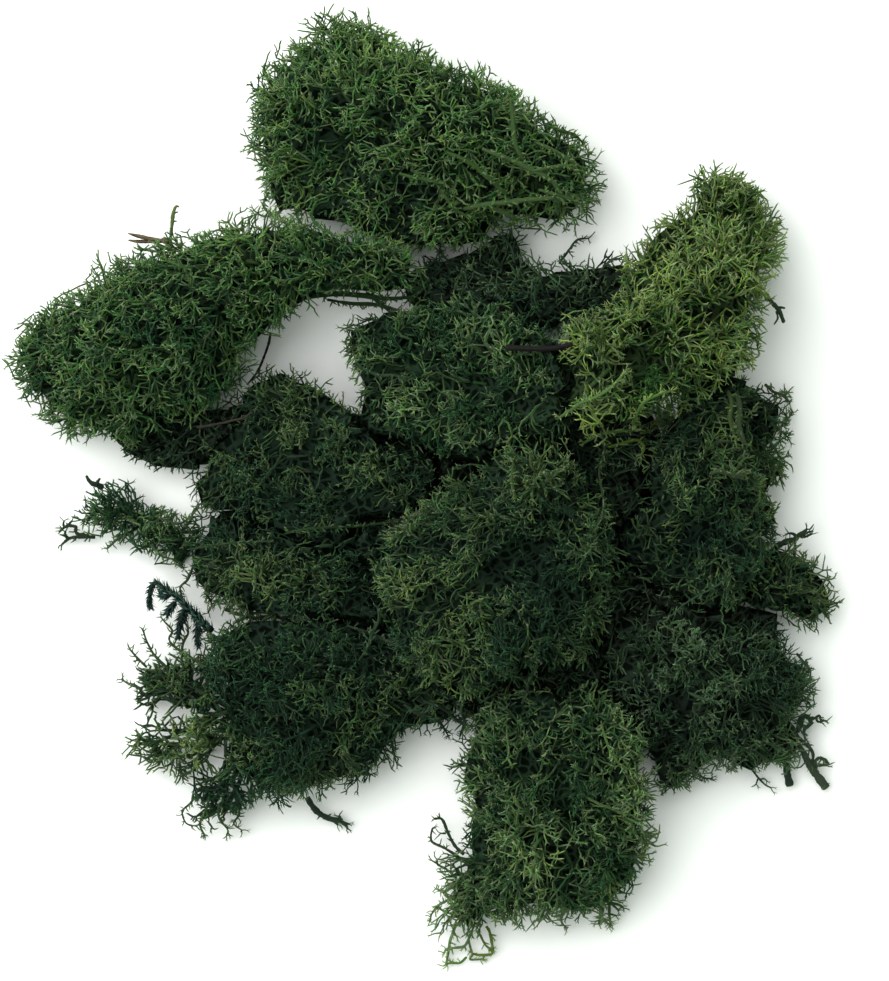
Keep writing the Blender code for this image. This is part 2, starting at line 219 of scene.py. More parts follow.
wholeHeap = treeOf(tuftNames)
straightUp = Vector((0, 0, 1))
skyRays = [straightUp] + [
    Vector((math.cos(a) * s, math.sin(a) * s, math.sqrt(1 - s * s)))
    for s, count in ((0.7, 5), (0.98, 5))
    for a in [i / count * tau + s for i in range(count)]
]


def openShare(point, normal):  # share of the sky that a spot sees past the tufts, and if it sees the top
    start = Vector(point) + Vector(normal) * 0.7
    free = [wholeHeap.ray_cast(start, ray, 200)[0] is None for ray in skyRays]
    rim = start + Vector(normal) * 1.1
    return sum(free) / len(free), free[0] or wholeHeap.ray_cast(rim, straightUp, 200)[0] is None


def heapTop(x, y):
    spot = wholeHeap.ray_cast(Vector((x, y, 90)), -straightUp, 90)[0]
    return spot.z if spot else 2.2


def surfaceSpots(name, spacing, dice):  # one spot from each little cell that the surface runs through
    points, corners = solids[name]
    a, b, c = (points[corners[:, i]] for i in range(3))
    normal = np.cross(b - a, c - a)
    area = np.linalg.norm(normal, axis=1) / 2
    count = int(area.sum() / spacing ** 2 * 6)
    pick = dice.choice(len(area), count, p=area / area.sum())
    u, v = dice.random(count), dice.random(count)
    over = u + v > 1
    u[over], v[over] = 1 - u[over], 1 - v[over]
    spots = a[pick] + (b - a)[pick] * u[:, None] + (c - a)[pick] * v[:, None]
    cells = np.floor((spots + dice.random(3) * spacing) / spacing).astype(int)
    chosen = np.unique(cells, axis=0, return_index=True)[1]
    return spots[chosen], unit(normal[pick][chosen])


# Growth of one tuft

growth = {  # lists run from the last forks inwards, level by level
    "spineSteps": 28,  # points along the line that the branches run back to
    "lag": 8,  # how many of those points a branch runs upstream
    "cells": (2.7, 4.3, 6.8, 10.0),  # forks closer than this meet, level by level
    "stepShare": (0.7, 0.66, 0.66, 0.66),  # branch lengths as shares of those cells
    "lie": (0.35, 0.5, 0.4, 0.1),  # how far each level follows the lie of the moss,
    "flow": (0.3, 0.4, 0.9, 1.0),  # how far it runs away from the spine,
    "lift": (0.32, 0.36, 0.6, 0.3),  # and how far it turns to the open air
    "wild": (1.25, 0.8, 0.2, 0.0),  # how far it strays by chance
    "tipRadius": 0.12,
    "starRadius": 0.142,  # where the last prongs meet
    "mostRadius": 0.38,
    "thickening": 3.4,  # the power by which branches add up to their stem
    "sides": (3, 3, 4, 5, 5),
    "layers": [  # spots this far apart, this deep under the solid's skin, with one to three prongs
        {"spacing": 1.82, "depth": (0.3, 1.3), "forked": 0.8, "reach": 1.05, "prongs": (0.3, 0.64, 0.06)},
        {"spacing": 2.2, "depth": (1.4, 2.5), "forked": 0.5, "reach": 1.3, "prongs": (0.5, 0.5, 0.0)},
        {"spacing": 2.6, "depth": (2.6, 3.8), "forked": 0.1, "reach": 1.6, "prongs": (0.7, 0.3, 0.0)},
    ],
}


def spineOf(name, stations):
    low, high = (np.array(v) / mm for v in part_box(name))
    marks = low + (high - low) * np.array(stations)
    ways = np.linspace(0, len(marks) - 1, growth["spineSteps"])
    return np.stack([np.interp(ways, range(len(marks)), marks[:, i]) for i in range(3)], 1)


def flowAt(points, spine):  # away from the spine, from a little upstream of the nearest point
    apart = np.linalg.norm(points[:, None] - spine[None], axis=2)
    nearest = apart.argmin(1)
    source = spine[np.maximum(nearest - growth["lag"], 0)]
    return unit(points - source), nearest / (growth["spineSteps"] - 1)


def headingAt(points, normal, spine, level, dice):
    way = unit(wanderAt(points, 0.13, 5.0)) * growth["lie"][level]
    way += flowAt(points, spine)[0] * growth["flow"][level]
    way += unit(dice.normal(0, 1, points.shape)) * growth["wild"][level]
    way -= normal * (way * normal).sum(1, keepdims=True)
    lift = growth["lift"][level] * (1.6 - 0.8 * smoothStep(normal[:, 2], 0.0, 0.6))
    if level == 0:
        lift *= dice.uniform(0.3, 1.9, len(points))
    return unit(way + normal * lift[:, None])


# For each prong: least and most lean in degrees, the side it leans to, and how far it turns outwards
prongLeans = ((14, 52, 1, 0.1), (36, 78, -1, 0.15), (30, 62, 0.4, 0.9))


def growTips(work, spots, dice, kneed=True):  # one to three curved prongs, most of them with two tips
    roots, heading, normal = spots["place"], spots["heading"], spots["normal"]
    count = len(roots)
    prongs = spots["prongs"]
    side = acrossFrom(heading, np.cross(heading, normal) + dice.normal(0, 0.4, heading.shape))
    sign = np.where(dice.random(count) < 0.5, 1.0, -1.0)
    for j, (leanLow, leanHigh, turn, out) in enumerate(prongLeans):
        has = np.flatnonzero(prongs > j)
        n = len(has)
        lean = np.radians(dice.uniform(leanLow, leanHigh, n))[:, None]
        sideways = unit(side[has] * (sign[has] * turn)[:, None] + normal[has] * out)
        way = unit(heading[has] * np.cos(lean) + sideways * np.sin(lean))
        bend = unit(way + heading[has] * 0.5 + dice.normal(0, 0.44, (n, 3)))
        length = (spots["reach"][has] * dice.uniform(0.7, 1.35, n))[:, None]
        tone = spots["tone"][has] + dice.normal(0, 0.04, n)
        fat = growth["tipRadius"] * dice.uniform(0.88, 1.15, n) * spots.get("fat", np.ones(count))[has]
        square = acrossFrom(way, sideways)
        first = work.rings(roots[has] - way * 0.06, way, square, fat * 1.2, 0.26, tone, 3)
        work.caps(first, 3, False)
        knee = roots[has] + way * length * 0.5
        ends = knee + bend * length * 0.5
        last = work.rings(ends, bend, acrossFrom(bend, square), fat * 0.95, 0.12, tone, 3)
        if kneed:
            between = unit(way + bend)
            second = work.rings(knee, between, acrossFrom(between, square), fat * 1.04, 0.19, tone, 3)
            work.tubes(first, second, 3)
            work.tubes(second, last, 3)
        else:
            work.tubes(first, last, 3)
        square = acrossFrom(bend, square)
        # the prong runs on to one blunt tip, and a forked one has a second tip on the other side
        spread = acrossFrom(bend, side[has] + dice.normal(0, 0.6, (n, 3)))
        forked = dice.random(n) < spots["forked"][has]
        apart = np.where(forked, dice.uniform(0.45, 0.95, n), dice.uniform(0.0, 0.4, n))[:, None]
        short = dice.uniform(0.38, 0.7, n)[:, None] * (0.6 + 0.4 * spots["reach"][has][:, None])
        work.cones(last, ends + unit(bend + spread * apart) * short, 0.0, tone, 3)
        pair = np.flatnonzero(forked)
        barb = np.flatnonzero(dice.random(n) < spots["forked"][has] * 0.3)
        for which, base, tilt in ((pair, ends - bend * 0.07, -0.85), (barb, knee, 1.2)):
            off = unit(bend[which] + spread[which] * tilt * dice.uniform(0.6, 1.1, (len(which), 1)))
            start = work.rings(base[which], off, acrossFrom(off, square[which]), fat[which] * 0.98,
                               0.13, tone[which], 3)
            work.caps(start, 3, False)
            reach = short[which] * dice.uniform(0.85, 1.2, (len(which), 1))
            work.cones(start, base[which] + off * reach, 0.0, tone[which], 3)


levelAges = (0.27, 0.4, 0.56, 0.7, 0.82, 0.92)  # from the last forks to the foot, for the colours: further in is darker, partly the stems' own colour and partly painted shade


def starSpots(name, look, spine, dice):  # where the last forks of a tuft root, and how pale each is
    found = []
    for number, layer in enumerate(growth["layers"]):
        spots, normal = surfaceSpots(name, layer["spacing"] * look["coarse"] * look["fine"], dice)
        views = np.array([openShare(p, n) for p, n in zip(spots, normal)])
        sky, top = views[:, 0], views[:, 1] > 0.5
        along = flowAt(spots, spine)[1]
        # moss thins out where no light comes in, and under the tuft where it lies on the table
        keep = np.where(sky > 0.05, 0.6 + 0.4 * smoothStep(sky, 0.05, 0.3), 0.08)
        keep = np.where(top & (normal[:, 2] > -0.6), 1.0, keep)
        keep = np.where((normal[:, 2] < -0.5) & (spots[:, 2] < 2.5), 0.1, keep)
        keep *= look["bare"] + (1 - look["bare"]) * smoothStep(along, 0.0, 0.3)
        if number == 0:
            keep *= 0.4 + 0.6 * smoothStep(noiseAt(spots, 0.19, 3.1), -0.4, -0.1)  # dark pits
        for x, y, radius, share in look["thin"]:
            keep *= 1 - (1 - share) * nearSpot(spots, x, y, radius * 0.7, radius * 1.1)
        chosen = dice.random(len(spots)) < keep
        spots, normal, sky = spots[chosen], normal[chosen], sky[chosen]
        count = len(spots)
        # cushions and dips on top, single fronds that stick out at the sides
        swell = smoothStep(noiseAt(spots, 0.15, 9.0), -0.35, 0.3) * look["relief"]
        swell *= 0.3 + 0.7 * smoothStep(normal[:, 2], 0.1, 0.6)
        fronds = smoothStep(noiseAt(spots, 0.3, 31.0), 0.12, 0.45) * look["fronds"]
        fronds += (dice.random(count) < 0.08) * dice.uniform(0, 1.2, count) * look["fronds"]
        fronds *= 1 - 0.8 * smoothStep(normal[:, 2], 0.3, 0.8)
        rim = 1 - smoothStep(normal[:, 2], 0.1, 0.7)
        depth = dice.uniform(*layer["depth"], count) * (1 - 0.4 * rim) + swell - fronds * 1.4
        roots = spots - normal * depth[:, None] + dice.normal(0, 0.2, spots.shape)
        roots[:, 2] = np.maximum(roots[:, 2], 0.7)
        loose = smoothStep(noiseAt(spots, 0.1, 20.0), -0.3, 0.4)  # parts with longer branches
        tone = look["tone"] + look["patches"] * noiseAt(spots, 0.1) + 0.55 * noiseAt(spots, 0.3, 7.0)
        # deeper layers and the spots in dips get a little darker: painted shade
        tone += dice.normal(0, 0.12, count) - 0.04 * number - 0.04 * swell
        for x, y, radius, more in look["lit"]:
            tone += more * nearSpot(spots, x, y, radius * 0.3, radius)
        stout = np.zeros(count)
        for x, y, radius, more in look["stout"]:
            stout = np.maximum(stout, more * nearSpot(spots, x, y, radius * 0.6, radius))
        found.append({
            "place": roots,
            "normal": normal,
            "tone": tone,
            "reach": layer["reach"] * look["fine"] * (0.75 + 0.5 * loose) * dice.uniform(0.85, 1.2, count),
            "forked": np.full(count, layer["forked"]),
            "prongs": 1 + dice.choice(3, count, p=layer["prongs"]),
            "layer": np.full(count, number),
            "fat": look["fine"] * (1 + stout),
        })
    spots = {key: np.concatenate([part[key] for part in found]) for key in found[0]}
    spots["radius"] = growth["starRadius"] * spots["fat"]
    spots["age"] = np.full(len(spots["fat"]), levelAges[0])
    spots["heading"] = headingAt(spots["place"], spots["normal"], spine, 0, dice)
    return spots


def joinForks(levels, spine, dice):  # from the tips inwards, forks that lie close together share a stem
    for number, cell in enumerate(growth["cells"]):
        below = levels[-1]
        cells = np.floor((below["place"] + dice.random(3) * cell) / cell).astype(int)
        parent = np.unique(cells, axis=0, return_inverse=True)[1].reshape(-1)
        weight = below["radius"] ** 2
        total = np.bincount(parent, weight)

        def gathered(values):
            return np.stack([np.bincount(parent, weight * values[:, i]) / total for i in range(3)], 1)

        middle = gathered(below["place"])
        normal = unit(gathered(below["normal"]) + 1e-6)
        way = unit(gathered(below["heading"]) + normal * 0.08)
        step = cell * growth["stepShare"][number] * dice.uniform(0.75, 1.25, len(middle))
        place = middle - way * step[:, None] + dice.normal(0, 0.1 * cell, middle.shape)
        if number > 1:
            nearest = np.linalg.norm(place[:, None] - spine[None], axis=2).argmin(1)
            place += (spine[nearest] - place) * 0.3
        place[:, 2] = np.maximum(place[:, 2], 0.8)
        radius = np.bincount(parent, below["radius"] ** growth["thickening"]) ** (1 / growth["thickening"])
        tone = np.bincount(parent, weight * below["tone"]) / total
        below["parent"] = parent
        levels.append({
            "place": place,
            "normal": normal,
            "heading": headingAt(place, normal, spine, min(number + 1, 3), dice),
            "radius": np.minimum(radius, growth["mostRadius"] * dice.uniform(0.8, 1.1, len(radius))),
            # each level further in is a little darker: painted shade
            "tone": tone - 0.03,
            "age": np.full(len(place), levelAges[number + 1]),
        })
    # the last forks run on to the foot of the tuft, where the stems were pulled off
    last = levels[-1]
    last["parent"] = np.arange(len(last["place"]))
    nearest = np.linalg.norm(last["place"][:, None] - spine[None], axis=2).argmin(1)
    upstream = spine[np.maximum(nearest - growth["lag"], 0)]
    foot = upstream + (last["place"] - upstream) * 0.4 + dice.normal(0, 0.6, last["place"].shape)
    foot[:, 2] = np.maximum(foot[:, 2], 0.9)
    levels.append({"place": foot, "radius": last["radius"] * 1.05, "tone": last["tone"],
                   "age": np.full(len(foot), levelAges[-1])})


def addShadeCore(work, name, look):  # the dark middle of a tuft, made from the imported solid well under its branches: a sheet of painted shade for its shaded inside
    points, corners = solids[name]
    a, b, c = (points[corners[:, i]] for i in range(3))
    normals = np.zeros(points.shape)
    for i in range(3):
        np.add.at(normals, corners[:, i], np.cross(b - a, c - a))
    normals = unit(normals)
    own, others = treeOf([name]), treeOf([other for other in tuftNames if other != name])
    pressed = np.zeros(len(points))
    for i, (point, normal) in enumerate(zip(points, normals)):
        start = Vector(point) + Vector(normal) * 0.3
        pressed[i] = np.mean([others.ray_cast(start, ray, 14)[0] is not None for ray in skyRays])
    depth = look["core"] * (1 - 0.8 * smoothStep(pressed, 0.05, 0.35))  # shallow where tufts press together
    depth += 2.6 * smoothStep(normals[:, 2], 0.1, 0.7)  # and deep below the open top
    for x, y, radius, share in look["thin"]:
        depth += nearSpot(points, x, y, radius * 0.8, radius * 1.3) * (1 - share) * 8
    depth *= 1 - 0.85 * smoothStep(-normals[:, 2], 0.05, 0.5)  # its matted underside lies close to the table
    for i, (point, normal) in enumerate(zip(points, normals)):
        way = Vector(-normal)
        across = own.ray_cast(Vector(point) + way * 0.05, way, 60)[3] or 0.5
        depth[i] = min(depth[i], across * 0.42)  # never through to the other side
    inside = points - normals * depth[:, None]
    for x, y, radius, toX, toY in look["hollow"]:
        pull = nearSpot(inside, x, y, radius * 0.75, radius * 1.1)
        inside[:, :2] += ((toX, toY) - inside[:, :2]) * pull[:, None]
    # each face becomes four and its corners are pushed about, so that no flat face is left
    edges = np.sort(np.concatenate([corners[:, [0, 1]], corners[:, [1, 2]], corners[:, [2, 0]]]), axis=1)
    pairs, which = np.unique(edges, axis=0, return_inverse=True)
    ab, bc, ca = which.reshape(3, -1) + len(inside)
    inside = np.concatenate([inside, (inside[pairs[:, 0]] + inside[pairs[:, 1]]) / 2])
    thick = np.concatenate([depth, (depth[pairs[:, 0]] + depth[pairs[:, 1]]) / 2])
    inside += wanderAt(inside, 0.45, 3.0) * np.minimum(thick, 2.5)[:, None] * 0.5
    inside[:, 2] = np.maximum(inside[:, 2], 0.6)
    a, b, c = corners.T
    tone = np.clip(0.4 + noiseAt(inside, 0.4, 1.0), 0.02, 0.98)
    first = work.keep(inside, 0.985 + 0.006 * np.sin(inside[:, 0] * 3), tone)
    for three in ((a, ab, ca), (ab, b, bc), (ca, bc, c), (ab, bc, ca)):
        work.tris.append(np.stack(three, 1) + first)


def drawStem(work, line, tone, ages, sides, cut, dice):  # one stem along a line, tip round or cut across
    centres, radii = line[:, :3], line[:, 3] * (1 + dice.normal(0, 0.09, len(line)))
    ways = unit(np.gradient(centres, axis=0))
    across = [acrossFrom(ways[:1], np.array([[0.2, 0.3, 0.93]]))]
    for i in range(1, len(line)):
        across.append(acrossFrom(ways[i:i + 1], across[-1]))
    across = np.concatenate(across)
    age = np.linspace(ages[0], ages[1], len(line))
    made = work.rings(centres, ways, across, radii, age, tone, sides)
    work.tubes(made[:-1], made[1:], sides)
    work.caps(made[:1], sides, False)
    last, end = slice(-1, None), centres[-1:] + ways[-1:] * radii[-1] * 0.35
    if cut:
        rim = work.rings(end, ways[last], across[last], radii[last] * 0.8, 0.96, 0.9, sides)
        work.tubes(made[last], rim, sides)
        work.caps(rim, sides, True)
    else:
        rim = work.rings(end, ways[last], across[last], radii[last] * 0.72, ages[1], tone, sides)
        work.tubes(made[last], rim, sides)
        work.cones(rim, end + ways[last] * radii[-1] * 0.35, ages[1], tone, sides)
    return ways, across


def twigSpots(line, ways, tone, spacing, dice, atEnd):  # places for short prongs along a drawn stem
    run = runAlong(line)
    at = np.arange(spacing * 0.8, run[-1] - 0.3, spacing) if spacing else np.zeros(0)
    at = at + dice.normal(0, 0.2 * (spacing or 1), len(at))
    index = np.clip(np.searchsorted(run, at), 1, len(line) - 1)
    way = ways[index]
    side = acrossFrom(way, dice.normal(0, 1, way.shape) * [1, 1, 0.6])
    place, heading = line[index, :3], unit(way * 0.55 + side)
    radius = line[index, 3]
    if atEnd:
        place = np.vstack([place, line[-1:, :3] - ways[-1:] * 0.05])
        heading, side = np.vstack([heading, ways[-1:]]), np.vstack([side, [[0.1, 0.1, 1.0]]])
        radius = np.append(radius, line[-1, 3])
    n = len(place)
    return {"place": place, "heading": heading, "normal": acrossFrom(heading, side + [0, 0, 0.7]),
            "tone": tone + dice.normal(0, 0.05, n), "reach": dice.uniform(0.5, 0.95, n),
            "prongs": np.full(n, 2), "forked": np.full(n, 0.6), "fat": np.clip(radius / 0.2, 0.75, 1.15)}


tipKeys = ("place", "heading", "normal", "tone", "reach", "forked", "prongs", "fat")


def growTuft(name, look, order):
    dice = np.random.default_rng(seed * 100 + order)
    spine = spineOf(name, look["spine"])
    stars = starSpots(name, look, spine, dice)
    levels = [stars]
    joinForks(levels, spine, dice)

    # Directions and rings, from the foot outwards
    work = Branchwork()
    top = levels[-1]
    top["heading"] = unit(levels[-2]["place"] - top["place"] + 1e-6)
    top["across"] = acrossFrom(top["heading"], np.tile([0.3, 0.2, 0.93], (len(top["place"]), 1)))
    top["ring"] = work.rings(top["place"], top["heading"], top["across"], top["radius"], top["age"],
                             top["tone"], growth["sides"][-1])
    work.caps(top["ring"], growth["sides"][-1], False)
    for number in range(len(levels) - 2, -1, -1):
        here, above = levels[number], levels[number + 1]
        parent = here["parent"]
        sides, sidesAbove = growth["sides"][number], growth["sides"][min(number + 1, 4)]
        inward = unit(here["place"] - above["place"][parent])  # along the stem that joins the two
        here["heading"] = unit(inward * 0.6 + here["heading"])
        here["across"] = acrossFrom(here["heading"], above["across"][parent])
        here["ring"] = work.rings(here["place"], here["heading"], here["across"], here["radius"] * 0.97,
                                  here["age"], here["tone"], sides)
        # the stoutest child carries on its parent's stem, and the others leave from inside it
        rank = np.lexsort((-here["radius"], parent))
        main = np.zeros(len(parent), bool)
        main[rank[np.unique(parent[rank], return_index=True)[1]]] = True
        if sides != sidesAbove:
            main[:] = False
            work.caps(above["ring"], sidesAbove, True)
        start = above["ring"][parent].copy()
        own = np.flatnonzero(~main)
        leave = unit(inward + above["heading"][parent] * 0.5)
        start[own] = work.rings(above["place"][parent[own]], leave[own],
                                acrossFrom(leave[own], above["across"][parent[own]]),
                                here["radius"][own] * 1.1, above["age"][parent[own]] - 0.02,
                                here["tone"][own], sides)
        work.caps(start[own], sides, False)
        # a ring halfway on the curve between the two headings, knocked a little aside
        span = np.linalg.norm(here["place"] - above["place"][parent], axis=1)[:, None]
        middle = (here["place"] + above["place"][parent]) / 2 + (leave - here["heading"]) * span / 7
        middle += dice.normal(0, 1, inward.shape) * span * 0.1
        waist = work.rings(middle, inward, acrossFrom(inward, here["across"]),
                           here["radius"] * dice.uniform(0.92, 1.06, len(span)),
                           (here["age"] + above["age"][parent]) / 2, here["tone"], sides)
        work.tubes(start, waist, sides)
        work.tubes(waist, here["ring"], sides)
    work.caps(stars["ring"], growth["sides"][0], True)
    deep = stars["layer"] == 2
    for which, kneed in ((~deep, True), (deep, False)):
        growTips(work, {key: stars[key][which] for key in tipKeys}, dice, kneed)
    if look["core"]:
        addShadeCore(work, name, look)
    for tone, marks in drapedStems.get(name, ()):
        line = np.array([(x, y, z[0] if len(z) > 1 else heapTop(x, y) + 0.1, z[-1]) for x, y, *z in marks])
        line[:, 2] = np.convolve(np.pad(line[:, 2], 1, mode="edge"), [0.25, 0.5, 0.25], "valid")
        line[[0, -1], 2] -= 0.8
        line = smoothLine(line, 3 * len(marks) + 2)
        ways = drawStem(work, line, tone, (0.45, 0.3), 6, False, dice)[0]
        growTips(work, twigSpots(line, ways, tone + 0.1, 0.85, dice, True), dice)
    print(f"{name}: {len(stars['place'])} last forks")
    return dress(work, name, "_moss", lichens[look["finish"]])


